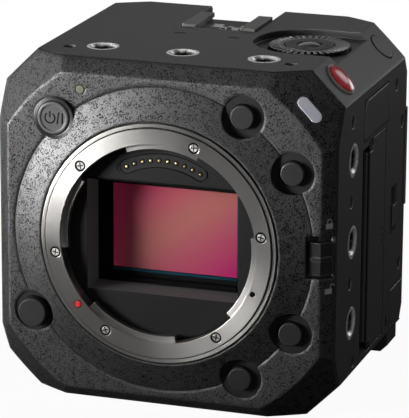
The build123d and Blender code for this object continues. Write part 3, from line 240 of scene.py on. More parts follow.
def awayFromSeams(tree, place, lines):
    # 0 on a seam, 1 elsewhere
    parts = axes(tree, place)
    clear = 1.0
    for axis, level in lines:
        gap = calc(tree, "ABSOLUTE", calc(tree, "SUBTRACT", parts[axis], level))
        clear = calc(tree, "MINIMUM", clear, remap(tree, gap, seams["clearFrom"], seams["clearTo"]))
    return clear


def satinPaint(name, level, edge, roughness=0.42, warmth=0.0, bevel=0.4 * mm, lines=()):
    material, tree, place = startMaterial(name)
    cloud = noise(tree, place, satin["cloudScale"])
    dark, light = grey(level * satin["dark"], warmth), grey(level * satin["light"], warmth)
    tone = blendColour(tree, cloud, dark, light)
    soft, edges = edgeHighlightMask(tree, bevel, satin["edgeLightShare"])
    if lines:
        clear = awayFromSeams(tree, place, lines)
        edges = times(tree, edges, clear)
        flat = put(tree, "ShaderNodeNewGeometry").outputs["Normal"]
        both = put(tree, "ShaderNodeMix", data_type="VECTOR")
        feed(tree, both.inputs["Factor"], clear)
        feed(tree, both.inputs[4], flat)
        feed(tree, both.inputs[5], soft)
        soft = both.outputs[1]
    grain = noise(tree, place, satin["grainScale"], 3.0, 0.6)
    return dress(material, {
        # the edge colour is a painted highlight along edges
        "Base Color": blendColour(tree, edges, tone, grey(edge, warmth)),
        "Normal": bump(tree, grain, satin["grain"], satin["grainStrength"], soft),
        "Roughness": unevenGloss(tree, grain, roughness, satin["spread"])})


# Metals

turned = {"axis": (0.0, 1.0, 0.0), "smearScale": 60, "dark": 0.88, "light": 1.12, "bevel": 0.2 * mm,
          "lineDepth": 0.002 * mm, "lineStrength": 0.3, "anisotropy": 0.6, "spread": (-0.06, 0.08)}
plain = {"dark": 0.75, "light": 1.15, "bevel": 0.15 * mm, "scale": 900,
         "grain": 0.02 * mm, "grainStrength": 0.4, "spread": (-0.06, 0.1)}
# dark: the colour further into the hole, a painted shade
insertTone = {"bright": 0.9, "warmth": 0.02, "dark": 0.06, "from": 0.25 * mm, "to": 0.8 * mm,
              "grainStrength": 0.3, "roughness": (0.24, 0.36), "metallic": (0.55, 1.0)}


def turnedMetal(name, colour, roughness, centre, lineScale):
    # lathe lines run round the axis through the centre
    material, tree, place = startMaterial(name)
    along = calcVector(tree, "CROSS_PRODUCT", calcVector(tree, "SUBTRACT", place, centre), turned["axis"])
    reach = calcVector(tree, "LENGTH", along)
    inputs = {"W": reach, "Scale": lineScale, "Detail": 3.0}
    lines = put(tree, "ShaderNodeTexNoise", inputs, noise_dimensions="1D").outputs["Fac"]
    soft = softNormal(tree, turned["bevel"])
    smear = noise(tree, place, turned["smearScale"], 2.0)
    tone = times(tree, calc(tree, "ADD", lines, smear), 0.5)
    dark, light = shade(colour, turned["dark"]), shade(colour, turned["light"])
    return dress(material, {
        "Base Color": blendColour(tree, tone, dark, light),
        "Normal": bump(tree, lines, turned["lineDepth"], turned["lineStrength"], soft),
        "Roughness": unevenGloss(tree, tone, roughness, turned["spread"]),
        "Metallic": 1.0, "Anisotropic": turned["anisotropy"],
        # the highlight stretches across the lathe lines, so away from the axis
        "Tangent": calcVector(tree, "CROSS_PRODUCT", turned["axis"], along)})


def plainMetal(name, colour, roughness, scale=plain["scale"]):
    material, tree, place = startMaterial(name)
    cloud = noise(tree, place, scale)
    soft = softNormal(tree, plain["bevel"])
    dark, light = shade(colour, plain["dark"]), shade(colour, plain["light"])
    return dress(material, {
        "Base Color": blendColour(tree, cloud, dark, light),
        "Normal": bump(tree, cloud, plain["grain"], plain["grainStrength"], soft),
        "Roughness": unevenGloss(tree, cloud, roughness, plain["spread"]),
        "Metallic": 1.0})


def insertMetalShadedBore(name):
    # bright at the mouth of each thread and dark further in, a painted shade inside the hole
    material, tree, place = startMaterial(name)
    parts = axes(tree, place)
    side = calc(tree, "SUBTRACT", sideFlat, calc(tree, "ABSOLUTE", parts["X"]))
    top = calc(tree, "SUBTRACT", topFlat, parts["Z"])
    inside = calc(tree, "MINIMUM", calc(tree, "MINIMUM", side, top), parts["Z"])
    deep = remap(tree, inside, insertTone["from"], insertTone["to"])
    cloud = noise(tree, place, plain["scale"])
    soft = softNormal(tree, plain["bevel"])
    bright = grey(insertTone["bright"], insertTone["warmth"])
    return dress(material, {
        "Base Color": blendColour(tree, deep, bright, grey(insertTone["dark"])),
        "Normal": bump(tree, cloud, plain["grain"], insertTone["grainStrength"], soft),
        "Roughness": overNoise(tree, cloud, *insertTone["roughness"]),
        "Metallic": remap(tree, deep, 0, 1, *insertTone["metallic"])})


# Plastics

plastic = {"cloudScale": 120, "dark": 0.8, "light": 1.2, "bevel": 0.3 * mm, "edgeLightShare": 0.6,
           "grainScale": 2600, "grain": 0.03 * mm, "grainStrength": 0.4, "spread": (-0.04, 0.06)}
# back: the black deeper in the box, a painted shade
boxTone = {"front": 0.09, "back": 0.002, "turn": 8.4 * mm, "end": 8.9 * mm, "bevel": 0.2 * mm,
           "faceFrom": 0.25 * mm, "faceTo": 0.4 * mm, "faceShare": 0.06,
           "grainStrength": 0.3, "roughness": (0.55, 0.65), "gloss": (0.15, 0.03)}
# the teeth and edge colours are painted highlight, the gap colour painted shade
dialTone = {"teethHighlight": 0.11, "top": 0.045, "gap": 0.001, "edge": 0.9, "bevel": 0.22 * mm,
            "low": 91.9 * mm, "high": 92.15 * mm, "ring": 7.9 * mm, "ringBlend": 0.1 * mm,
            "grainStrength": 0.3, "roughness": (0.3, 0.4)}


def plasticGrain(tree, place):
    return noise(tree, place, plastic["grainScale"], 3.0, 0.6)


def mouldedPlastic(name, colour, roughness, edge, coat=0.0, gloss=0.5):
    # the edge colour is a painted highlight along edges
    material, tree, place = startMaterial(name)
    grain = plasticGrain(tree, place)
    cloud = noise(tree, place, plastic["cloudScale"], 2.0)
    tone = blendColour(tree, cloud, shade(colour, plastic["dark"]), shade(colour, plastic["light"]))
    soft, edges = edgeHighlightMask(tree, plastic["bevel"], plastic["edgeLightShare"])
    return dress(material, {
        "Base Color": blendColour(tree, edges, tone, grey(edge)),
        "Normal": bump(tree, grain, plastic["grain"], plastic["grainStrength"], soft),
        "Roughness": unevenGloss(tree, grain, roughness, plastic["spread"]),
        "Coat Weight": coat, "Specular IOR Level": gloss})


def shadedBoxPlastic(name):
    # matt grey walls, darker on the front face, that turn black deeper in towards the sensor, a painted
    # shade
    material, tree, place = startMaterial(name)
    depth = axes(tree, place)["Y"]
    back = remap(tree, depth, frontFlat + boxTone["turn"], frontFlat + boxTone["end"])
    face = remap(tree, depth, frontFlat + boxTone["faceFrom"], frontFlat + boxTone["faceTo"],
                 boxTone["faceShare"], 1.0)
    wall = blendColour(tree, face, grey(0), grey(boxTone["front"]))
    grain = plasticGrain(tree, place)
    soft = softNormal(tree, boxTone["bevel"])
    return dress(material, {
        "Base Color": blendColour(tree, back, wall, grey(boxTone["back"])),
        "Normal": bump(tree, grain, plastic["grain"], boxTone["grainStrength"], soft),
        "Roughness": overNoise(tree, grain, *boxTone["roughness"]),
        "Specular IOR Level": remap(tree, back, 0, 1, *boxTone["gloss"])})


def dialPlastic(name):
    # a lighter toothed ring and a near-white colour along edges, a painted highlight, and black down in
    # the gaps between the teeth, a painted shade
    material, tree, place = startMaterial(name)
    level = remap(tree, axes(tree, place)["Z"], dialTone["low"], dialTone["high"])
    grain = plasticGrain(tree, place)
    soft, edges = edgeHighlightMask(tree, dialTone["bevel"], plastic["edgeLightShare"])
    away = calcVector(tree, "SUBTRACT", place, dialCentre + (0.0,))
    reach = calcVector(tree, "LENGTH", calcVector(tree, "MULTIPLY", away, (1.0, 1.0, 0.0)))
    outer = remap(tree, reach, dialTone["ring"], dialTone["ring"] + dialTone["ringBlend"])
    base = blendColour(tree, outer, grey(dialTone["top"]), grey(dialTone["teethHighlight"]))
    top = blendColour(tree, edges, base, grey(dialTone["edge"]))
    return dress(material, {
        "Base Color": blendColour(tree, level, grey(dialTone["gap"]), top),
        "Normal": bump(tree, grain, plastic["grain"], dialTone["grainStrength"], soft),
        "Roughness": overNoise(tree, grain, *dialTone["roughness"])})


# Clear-coated colours, the sensor's glass and the circuit boards

glossy = {"cloudScale": 160, "bevel": 0.4 * mm, "grain": 0.04 * mm, "grainStrength": 0.15,
          "spread": (0.0, 0.05), "coatRoughness": 0.26}
sensorTint = {
    # edge: the brighter crimson of the left strip, painted light
    "edge": (0.75, 0.035, 0.16, 1),
    "crimson": (0.34, 0.02, 0.085, 1),
    "salmon": (0.25, 0.08, 0.075, 1),
    "magenta": (0.27, 0.008, 0.085, 1),
    "salmonFrom": 0.44, "salmonTo": 0.52, "litEdgeWidth": 0.2, "edgeLightShare": 0.9,
    "halfWidth": 17.3 * mm, "halfHeight": 11.6 * mm,
    "shimmerScale": 220, "roughness": (0.1, 0.16), "coatRoughness": 0.03,
}
board = {"cells": 420.0, "trackFrom": 0.32, "trackTo": 0.36, "base": (0.01, 0.09, 0.04, 1),
         "track": (0.03, 0.18, 0.07, 1), "roughness": 0.35}


def glossPlastic(name, colour, deep, roughness, coat):
    material, tree, place = startMaterial(name)
    cloud = noise(tree, place, glossy["cloudScale"], 2.0)
    soft = softNormal(tree, glossy["bevel"])
    return dress(material, {
        "Base Color": blendColour(tree, cloud, deep + (1,), colour + (1,)),
        "Normal": bump(tree, cloud, glossy["grain"], glossy["grainStrength"], soft),
        "Roughness": unevenGloss(tree, cloud, roughness, glossy["spread"]),
        "Coat Weight": coat, "Coat Roughness": glossy["coatRoughness"]})


def filterGlass(name):
    # the coated glass shows the sensor's pink, warm in the middle and crimson at two edges; a brighter
    # crimson strip along the left edge is painted light where the key lamp's shadow falls
    material, tree, place = startMaterial(name)
    parts = axes(tree, place)
    halfWidth, halfHeight = sensorTint["halfWidth"], sensorTint["halfHeight"]
    across = remap(tree, parts["X"], -halfWidth, halfWidth)
    up = remap(tree, parts["Z"], axisHeight - halfHeight, axisHeight + halfHeight)
    slant = calc(tree, "ADD", times(tree, calc(tree, "SUBTRACT", across, up), 0.5), 0.5)
    warm = put(tree, "ShaderNodeValToRGB", {"Fac": slant})
    stops = warm.color_ramp.elements
    stops[0].color = sensorTint["crimson"]
    stops[1].color = sensorTint["magenta"]
    for spot in (sensorTint["salmonFrom"], sensorTint["salmonTo"]):
        middle = stops.new(spot)
        middle.color = sensorTint["salmon"]
    edge = remap(tree, across, 0.0, sensorTint["litEdgeWidth"], sensorTint["edgeLightShare"], 0.0)
    shimmer = noise(tree, place, sensorTint["shimmerScale"], 2.0)
    return dress(material, {
        "Base Color": blendColour(tree, edge, warm.outputs["Color"], sensorTint["edge"]),
        "Roughness": overNoise(tree, shimmer, *sensorTint["roughness"]),
        "Coat Weight": 1.0, "Coat Roughness": sensorTint["coatRoughness"]})


def boardMaterial(name):
    material, tree, place = startMaterial(name)
    inputs = {"Vector": place, "Scale": board["cells"]}
    cells = put(tree, "ShaderNodeTexVoronoi", inputs, feature="F1", distance="CHEBYCHEV")
    tracks = remap(tree, cells.outputs["Distance"], board["trackFrom"], board["trackTo"])
    return dress(material, {
        "Base Color": blendColour(tree, tracks, board["base"], board["track"]),
        "Roughness": board["roughness"]})


# Finishes by slot, then those of single nodes and added pieces

def makeMaterials():
    lensCentre = (0.0, 0.0, axisHeight)
    powerMiddle = (powerCentre[0], 0.0, powerCentre[1])
    return {
        "wrinkle_paint": crinklePaint("crinklePaint", 0.9 * mm),
        "cover_paint": satinPaint("coverPaint", 0.024, 0.3, bevel=0.6 * mm),
        "steel_ring": turnedMetal("turnedRing", (0.51, 0.497, 0.48), 0.36, lensCentre, 6000),
        "black_plastic": mouldedPlastic("blackPlastic", (0.012, 0.012, 0.012), 0.5, 0.03, gloss=0.15),
        "chip": glossPlastic("sensorSurface", (0.1, 0.02, 0.05), (0.05, 0.01, 0.03), 0.12, 0.8),
        "filter_glass": filterGlass("filterGlass"),
        "gold": plainMetal("goldPlate", (0.83, 0.62, 0.3), 0.3),
        "red_dot": glossPlastic("redEnamel", (0.5, 0.02, 0.025), (0.35, 0.01, 0.015), 0.3, 0.3),
        "screw_steel": plainMetal("screwSteel", (0.66, 0.65, 0.63), 0.38, 300),
        "dark_screw": plainMetal("darkScrew", (0.04, 0.04, 0.042), 0.4),
        "button_black": mouldedPlastic("buttonPlastic", (0.011, 0.011, 0.012), 0.42, 0.16, gloss=0.36),
        "power_ring_metal": turnedMetal("powerRing", (0.1, 0.1, 0.1), 0.35, powerMiddle, 3200),
        "rec_red": glossPlastic("recordRed", (0.85, 0.05, 0.06), (0.7, 0.02, 0.035), 0.12, 1.0),
        "bezel_metal": satinPaint("bezelMetal", 0.3, 0.5, 0.3, 0.08),
        "lamp_lens": glossPlastic("lampLens", (0.85, 0.84, 0.92), (0.7, 0.7, 0.8), 0.2, 0.6),
        "led_lens": glossPlastic("ledLens", (0.1, 0.105, 0.075), (0.07, 0.075, 0.05), 0.3, 0.3),
        "frame_metal": plainMetal("frameMetal", (0.12, 0.12, 0.125), 0.5),
        "circuit": boardMaterial("circuitBoard"),
        "shoe_steel": satinPaint("shoeSteel", 0.07, 0.4, 0.38, 0.03, 0.3 * mm),
        "spring_steel": plainMetal("springSteel", (0.6, 0.59, 0.57), 0.25),
        "dial_metal": dialPlastic("dialPlastic"),
        "menu_gloss": mouldedPlastic("menuPlastic", (0.05, 0.05, 0.052), 0.16, 0.1, coat=0.8),
        "rubber": mouldedPlastic("softRubber", (0.022, 0.022, 0.023), 0.5, 0.2),
        "connector_steel": plainMetal("connectorSteel", (0.62, 0.62, 0.6), 0.3, 120),
        "socket_black": mouldedPlastic("socketPlastic", (0.01, 0.01, 0.01), 0.4, 0.05),
        "front_paint": crinklePaint("frontPaint", 1.4 * mm),
        "side_paint": satinPaint("sidePaint", 0.036, 0.4, bevel=0.6 * mm, lines=seams["side"]),
        "rear_paint": satinPaint("rearPaint", 0.024, 0.3, bevel=0.6 * mm, lines=seams["rear"]),
        "box_walls": shadedBoxPlastic("boxWalls"),
        "insert_metal": insertMetalShadedBore("insertMetalShadedBore"),
        "cap_satin": satinPaint("capSatin", 0.045, 0.16, 0.36),
        "lock_plastic": mouldedPlastic("lockPlastic", (0.012, 0.012, 0.012), 0.42, 0.3, gloss=0.35),
        "card_plastic": mouldedPlastic("cardLockPlastic", (0.035, 0.035, 0.036), 0.4, 0.6),
        # near black, for black parts and print, and for painted shade put in holes, gaps, grooves and
        # slots
        "black_and_painted_shade": mouldedPlastic("blackAndPaintedShade", (0.002, 0.002, 0.002), 0.6, 0.002, gloss=0.05),
        "edge_teal": glossPlastic("edgeTeal", (0.0, 0.03, 0.045), (0.0, 0.015, 0.025), 0.2, 0.3),
        "label_white": satinPaint("labelWhite", 0.3, 0.3, 0.5),
        "label_black": satinPaint("labelBlack", 0.004, 0.004, 0.5),
    }


# nodes whose finish differs a little from the others of their slot
special = {
    "light_box": "box_walls", "front_cover": "front_paint", "card_door": "side_paint",
    "side_covers": "side_paint", "thread_inserts": "insert_metal", "power_button": "cap_satin",
    "lock_pin": "black_and_painted_shade", "door_hinge": "dark_screw", "board_spacers": "frame_metal",
    "sensor_mask": "black_and_painted_shade", "left_cover": "side_paint", "right_cover": "side_paint",
    "rear_panel": "rear_paint", "card_lock": "card_plastic", "lock_slider": "lock_plastic",
}


def dressNodes(made):
    slots = {part["node"]: part["material_slot"] for part in frame["record"]["subparts"]}
    for name, thing in cadNodes.items():
        material = made[special.get(name, slots[name])]
        if thing.material_slots:
            for spot in thing.material_slots:
                spot.material = material
        else:
            thing.data.materials.append(material)


# Mesh helpers

reliefFoot = -0.05 * mm       # how far a flat mark goes down into the surface under it


def addPiece(name, mesh, material, body):
    mesh.name = name
    piece = bpy.data.objects.new(name, mesh)
    bpy.context.scene.collection.objects.link(piece)
    mesh.materials.clear()
    mesh.materials.append(material)
    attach(piece, body)
    return piece


# a near-black piece put in a gap, groove or slot, a painted shade
def addPaintedShade(name, mesh, made):
    return addPiece(name, mesh, made["black_and_painted_shade"], "body")


def planeAt(origin, right, up):
    # a place whose X runs right, whose Y runs up and whose Z comes out of the surface
    right, up = Vector(right).normalized(), Vector(up).normalized()
    rows = Matrix((right, up, right.cross(up))).transposed().to_4x4()
    return Matrix.Translation(origin) @ rows


def frontPlane(depth, x=0.0, height=0.0):
    return planeAt((x, frontFlat + depth, height), (1, 0, 0), (0, 0, 1))


def sidePlane():
    return planeAt((sideFlat, 0, 0), (0, 1, 0), (0, 0, 1))


def closeMesh(shape, place=Matrix()):
    bmesh.ops.recalc_face_normals(shape, faces=shape.faces)
    shape.transform(place)
    mesh = bpy.data.meshes.new("relief")
    shape.to_mesh(mesh)
    shape.free()
    return mesh


def bridge(shape, first, second):
    # faces between two rings with the same number of corners
    for i in range(len(first)):
        j = (i + 1) % len(first)
        shape.faces.new((first[i], first[j], second[j], second[i]))


def reliefMesh(outlines, height, place):
    # flat outlines, each with a thickness, set on a place
    shape = bmesh.new()
    for outline in outlines:
        low = [shape.verts.new((x, y, reliefFoot)) for x, y in outline]
        top = [shape.verts.new((x, y, height)) for x, y in outline]
        shape.faces.new(top)
        shape.faces.new(list(reversed(low)))
        bridge(shape, low, top)
    return closeMesh(shape, place)


def bandMesh(pairs, height, place):
    # closed bands, each between an outer and an inner outline with the same number of corners
    shape = bmesh.new()
    for outer, inner in pairs:
        lowOut, lowIn, topOut, topIn = [[shape.verts.new((x, y, level)) for x, y in line]
                                        for level in (reliefFoot, height) for line in (outer, inner)]
        for first, second in ((topOut, topIn), (lowOut, topOut), (topIn, lowIn), (lowIn, lowOut)):
            bridge(shape, first, second)
    return closeMesh(shape, place)


def stripMesh(strips):
    # bent sheet strips: each has its two sides along X, a path of depths and heights, and a thickness
    shape = bmesh.new()
    for left, right, path, thick in strips:
        corners = ((left, 0), (right, 0), (right, thick), (left, thick))
        rows = [[shape.verts.new((x * mm, frontFlat + depth * mm, (height - drop) * mm))
                 for x, drop in corners] for depth, height in path]
        for first, second in zip(rows, rows[1:]):
            bridge(shape, first, second)
        shape.faces.new(rows[0])
        shape.faces.new(rows[-1])
    return closeMesh(shape)


def onCircle(centre, radius, angles):
    return [(centre[0] + radius * math.cos(a), centre[1] + radius * math.sin(a)) for a in angles]


def sweepAngles(first, last, steps):
    return [math.radians(first + (last - first) * i / steps) for i in range(steps + 1)]


def arcBand(centre, inner, outer, first, last, steps=24):
    angles = sweepAngles(first, last, steps)
    return onCircle(centre, outer, angles) + onCircle(centre, inner, reversed(angles))


def circleLine(centre, radius, steps=28):
    return onCircle(centre, radius, [math.tau * i / steps for i in range(steps)])


def rectangle(low, high):
    return [(low[0], low[1]), (high[0], low[1]), (high[0], high[1]), (low[0], high[1])]


def sideRectangle(low, high):
    # from depths behind the front flat and heights, in millimetres
    return rectangle((frontFlat + low[0] * mm, low[1] * mm), (frontFlat + high[0] * mm, high[1] * mm))


# Geometry node helpers

def startTree(name, numbers):
    tree = bpy.data.node_groups.new(name, "GeometryNodeTree")
    tree.interface.new_socket("Geometry", in_out="INPUT", socket_type="NodeSocketGeometry")
    for label in numbers:
        tree.interface.new_socket(label, in_out="INPUT", socket_type="NodeSocketFloat")
    tree.interface.new_socket("Material", in_out="INPUT", socket_type="NodeSocketMaterial")
    tree.interface.new_socket("Geometry", in_out="OUTPUT", socket_type="NodeSocketGeometry")
    return tree, tree.nodes.new("NodeGroupInput").outputs


def triple(tree, x=0.0, y=0.0, z=0.0):
    return put(tree, "ShaderNodeCombineXYZ", {"X": x, "Y": y, "Z": z}).outputs[0]


def moved(tree, mesh, shift, scale=(1, 1, 1)):
    inputs = {"Geometry": mesh, "Translation": shift, "Scale": scale}
    return put(tree, "GeometryNodeTransform", inputs).outputs[0]


def cylinder(tree, radius, depth, sides):
    inputs = {"Vertices": sides, "Radius": radius, "Depth": depth}
    return put(tree, "GeometryNodeMeshCylinder", inputs).outputs["Mesh"]


def unite(tree, first, second):
    whole = put(tree, "GeometryNodeMeshBoolean", operation="UNION")
    tree.links.new(first, whole.inputs[1])
    tree.links.new(second, whole.inputs[1])
    return whole.outputs[0]


def facingTurn(tree, spin=None):
    facing = put(tree, "GeometryNodeInputNamedAttribute", {"Name": "facing"}, data_type="FLOAT_VECTOR")
    inputs = {"Vector": facing.outputs["Attribute"]}
    turn = put(tree, "FunctionNodeAlignRotationToVector", inputs, axis="Z").outputs[0]
    if spin is None:
        return turn
    local = put(tree, "FunctionNodeEulerToRotation", {0: triple(tree, z=spin)})
    inputs = {0: turn, 1: local.outputs[0]}
    return put(tree, "FunctionNodeRotateRotation", inputs, rotation_space="LOCAL").outputs[0]


def closeTree(tree, size, piece, spin=None):
    # the piece on every spot, turned the way that the spot faces
    inputs = {"Points": size["Geometry"], "Instance": piece, "Rotation": facingTurn(tree, spin)}
    spots = put(tree, "GeometryNodeInstanceOnPoints", inputs)
    real = put(tree, "GeometryNodeRealizeInstances", {0: spots.outputs[0]})
    inputs = {"Geometry": real.outputs[0], "Material": size["Material"]}
    paint = put(tree, "GeometryNodeSetMaterial", inputs)
    tree.links.new(paint.outputs[0], tree.nodes.new("NodeGroupOutput").inputs[0])
    return tree


def growPiece(name, tree, spots, numbers, material):
    # spots are pairs of a place and the way that the piece faces there
    cloud = bpy.data.meshes.new(name + "Spots")
    cloud.from_pydata([tuple(place) for place, way in spots], [], [])
    facing = cloud.attributes.new("facing", "FLOAT_VECTOR", "POINT")
    for index, (place, way) in enumerate(spots):
        facing.data[index].vector = Vector(way).normalized()
    seed = bpy.data.objects.new(name + "Seed", cloud)
    bpy.context.scene.collection.objects.link(seed)
    grower = seed.modifiers.new("grow", "NODES")
    grower.node_group = tree
    sockets = {item.name: item.identifier for item in tree.interface.items_tree if item.in_out == "INPUT"}
    for label, value in numbers.items():
        grower[sockets[label]] = value
    grower[sockets["Material"]] = material
    depsgraph = bpy.context.evaluated_depsgraph_get()
    mesh = bpy.data.meshes.new_from_object(seed.evaluated_get(depsgraph))
    seed.modifiers.remove(grower)
    bpy.data.objects.remove(seed)
    return addPiece(name, mesh, material, "body")


# Screws with a cross in the head

ringScrews = {"headRadius": 1.1 * mm, "headHeight": 0.9 * mm, "crossWidth": 0.32 * mm,
              "crossLength": 1.75 * mm, "crossDepth": 0.45 * mm}
caseScrews = {"headRadius": 1.32 * mm, "headHeight": 0.8 * mm, "crossWidth": 0.4 * mm,
              "crossLength": 1.8 * mm, "crossDepth": 0.45 * mm}
ringScrewShade = {"shadeRadius": 1.48 * mm, "shadeTop": 0.06 * mm, "shadeHeight": 0.7 * mm}
caseScrewShade = {"shadeRadius": 1.68 * mm, "shadeTop": 0.2 * mm, "shadeHeight": 0.55 * mm}
ringRow = {"circle": 28.6 * mm, "depth": -4.0 * mm, "angles": (137.5, 69.6, 9.5, -55.2, -120.0, -170.5)}
caseRows = {
    "sunk": 0.3 * mm, "topX": 30.4, "topDepth": 13.2, "baseX": 32.0, "baseDepths": (14.0, 60.0),
    "side": ((16.5, 78.2), (16.2, 56.9), (15.9, 34.7), (20.5, 12.0),        # depths and heights
             (60.0, 78.3), (66.5, 66.5), (66.3, 26.0), (54.2, 12.6)),
}
headShape = {"sides": 28, "rimShare": 0.9, "coneShare": 0.25, "spinLow": -0.2, "spinHigh": 0.3, "seed": 7}


def screwTree():
    tree, size = startTree("crossScrews", ringScrews)
    tall, share = size["headHeight"], headShape["coneShare"]
    rim = times(tree, size["headRadius"], headShape["rimShare"])
    inputs = {"Vertices": headShape["sides"], "Radius Top": rim, "Radius Bottom": size["headRadius"],
              "Depth": times(tree, tall, share)}
    cone = put(tree, "GeometryNodeMeshCone", inputs).outputs["Mesh"]
    cone = moved(tree, cone, triple(tree, z=times(tree, tall, -share)))
    neck = cylinder(tree, size["headRadius"], times(tree, tall, 1 - share), headShape["sides"])
    neck = moved(tree, neck, triple(tree, z=times(tree, tall, -(1 + share) / 2)))
    deep = times(tree, size["crossDepth"], 2.0)
    cut = put(tree, "GeometryNodeMeshBoolean", {0: unite(tree, cone, neck)}, operation="DIFFERENCE")
    for across, along in (("crossLength", "crossWidth"), ("crossWidth", "crossLength")):
        bar = put(tree, "GeometryNodeMeshCube", {"Size": triple(tree, size[across], size[along], deep)})
        tree.links.new(bar.outputs[0], cut.inputs[1])
    inputs = {2: headShape["spinLow"], 3: headShape["spinHigh"], "Seed": headShape["seed"]}
    spin = put(tree, "FunctionNodeRandomValue", inputs, data_type="FLOAT")
    return closeTree(tree, size, cut.outputs[0], spin.outputs[1])


def holeShadeTree():
    # a black disc down in a hole, a painted shade seen round the screw or pin in it and in the cross of a
    # screw head
    tree, size = startTree("holeShade", ringScrewShade)
    disc = cylinder(tree, size["shadeRadius"], size["shadeHeight"], headShape["sides"])
    half = times(tree, size["shadeHeight"], 0.5)
    drop = times(tree, calc(tree, "ADD", size["shadeTop"], half), -1.0)
    return closeTree(tree, size, moved(tree, disc, triple(tree, z=drop)))


def ringScrewSpots():
    angles = [math.radians(angle) for angle in ringRow["angles"]]
    return [((x, frontFlat + ringRow["depth"], z), (0, -1, 0))
            for x, z in onCircle((0, axisHeight), ringRow["circle"], angles)]


def caseScrewSpots():
    sunk = caseRows["sunk"]
    spots = []
    for side in (-1, 1):
        place = (side * caseRows["topX"] * mm, frontFlat + caseRows["topDepth"] * mm, topFlat - sunk)
        spots.append((place, (0, 0, 1)))
        for depth, height in caseRows["side"]:
            spots.append(((side * (sideFlat - sunk), frontFlat + depth * mm, height * mm), (side, 0, 0)))
        for depth in caseRows["baseDepths"]:
            spots.append(((side * caseRows["baseX"] * mm, frontFlat + depth * mm, sunk), (0, 0, -1)))
    return spots


def makeScrews(made):
    heads, holeShades = screwTree(), holeShadeTree()
    for name, spots, sizes, look, node in (
            ("ring_screw_heads", ringScrewSpots(), ringScrews, "screw_steel", "mount_screws"),
            ("case_screw_heads", caseScrewSpots(), caseScrews, "dark_screw", "case_screws")):
        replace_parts(growPiece(name, heads, spots, sizes, made[look]), node)
    # black discs under the heads, painted shade in the holes and the crosses
    for name, spots, sizes in (("ring_screw_shade", ringScrewSpots(), ringScrewShade),
                               ("case_screw_shade", caseScrewSpots(), caseScrewShade)):
        growPiece(name, holeShades, spots, sizes, made["black_and_painted_shade"])


# Contact pins: domed gold tips, each with a black disc round it as painted shade in its hole, and a dark
# line round their block as painted shade in the gap

tips = {"radius": 0.36 * mm, "stem": 0.5 * mm, "dome": 0.3 * mm}
tipShape = {"sides": 14, "rings": 8}
# black discs round the pins, a painted shade
pinShade = {"shadeRadius": 0.7 * mm, "shadeTop": 0.0, "shadeHeight": 0.02 * mm}
contactRow = {
    "circle": 21.45 * mm, "first": 117.4, "step": -6.25, "count": 10,
    "shadeDepth": 0.33 * mm, "tip": 0.0,                # depths behind the front flat
    "block": 1.85 * mm, "line": 0.2 * mm, "lineDepth": 0.18 * mm, "lineHeight": 0.02 * mm,
}


def tipTree():
    tree, size = startTree("contactTips", tips)
    stem = cylinder(tree, size["radius"], size["stem"], tipShape["sides"])
    low = calc(tree, "SUBTRACT", times(tree, size["stem"], -0.5), size["dome"])
    stem = moved(tree, stem, triple(tree, z=low))
    inputs = {"Segments": tipShape["sides"], "Rings": tipShape["rings"], "Radius": size["radius"]}
    ball = put(tree, "GeometryNodeMeshUVSphere", inputs)
    squash = triple(tree, 1.0, 1.0, calc(tree, "DIVIDE", size["dome"], size["radius"]))
    drop = triple(tree, z=times(tree, size["dome"], -1.0))
    dome = moved(tree, ball.outputs["Mesh"], drop, squash)
    return closeTree(tree, size, unite(tree, stem, dome))


def contactSpots(depth):
    angles = [math.radians(contactRow["first"] + contactRow["step"] * index)
              for index in range(contactRow["count"])]
    return [((x, frontFlat + depth, axisHeight + z), (0, -1, 0))
            for x, z in onCircle((0, 0), contactRow["circle"], angles)]


def blockLine(away, steps=8, sweepSteps=24):
    # an outline at a distance from the row of pins, round at both ends
    circle, first = contactRow["circle"], contactRow["first"]
    last = first + contactRow["step"] * (contactRow["count"] - 1)
    sweep = sweepAngles(first, last, sweepSteps)
    line = onCircle((0, 0), circle + away, sweep)
    for angle, side in ((last, 0), (first, 180)):
        centre = onCircle((0, 0), circle, [math.radians(angle)])[0]
        line += onCircle(centre, away, sweepAngles(angle + side, angle + side - 180, steps)[1:-1])
        if side == 0:
            line += onCircle((0, 0), circle - away, reversed(sweep))
    return line


def makeContacts(made):
    spots = contactSpots(contactRow["tip"])
    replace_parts(growPiece("contact_tips", tipTree(), spots, tips, made["gold"]), "contact_pins")
    spots = contactSpots(contactRow["shadeDepth"])
    growPiece("contact_pin_shade", holeShadeTree(), spots, pinShade, made["black_and_painted_shade"])
    half = contactRow["line"] / 2
    pair = (blockLine(contactRow["block"] + half), blockLine(contactRow["block"] - half))
    place = frontPlane(contactRow["lineDepth"], height=axisHeight)
    addPaintedShade("contact_outline", bandMesh([pair], contactRow["lineHeight"], place), made)


# Painted shade: dark rings in the groove round the mount ring and in the gaps round the status lamp and
# the index dot

shadeRings = {
    "groove_shade": {"centre": (0, 46.3), "depth": -3.32, "inner": 30.97, "outer": 31.28, "steps": 180},
    "lamp_gap_shade": {"centre": (-22.53, 85.02), "depth": 0.0, "inner": 1.0, "outer": 1.3, "steps": 28},
    "index_gap_shade": {"centre": (-21.94, 27.96), "depth": -4.08, "inner": 0.88, "outer": 1.12, "steps": 28},
}
shadeRingHeight = 0.03 * mm


def makeShadeRings(made):
    for name, rim in shadeRings.items():
        centre = (rim["centre"][0] * mm, rim["centre"][1] * mm)
        pair = [circleLine(centre, rim[side] * mm, rim["steps"]) for side in ("outer", "inner")]
        addPaintedShade(name, bandMesh([pair], shadeRingHeight, frontPlane(rim["depth"] * mm)), made)


# Painted shade: dark strips in the gaps round the doors and covers of the right side

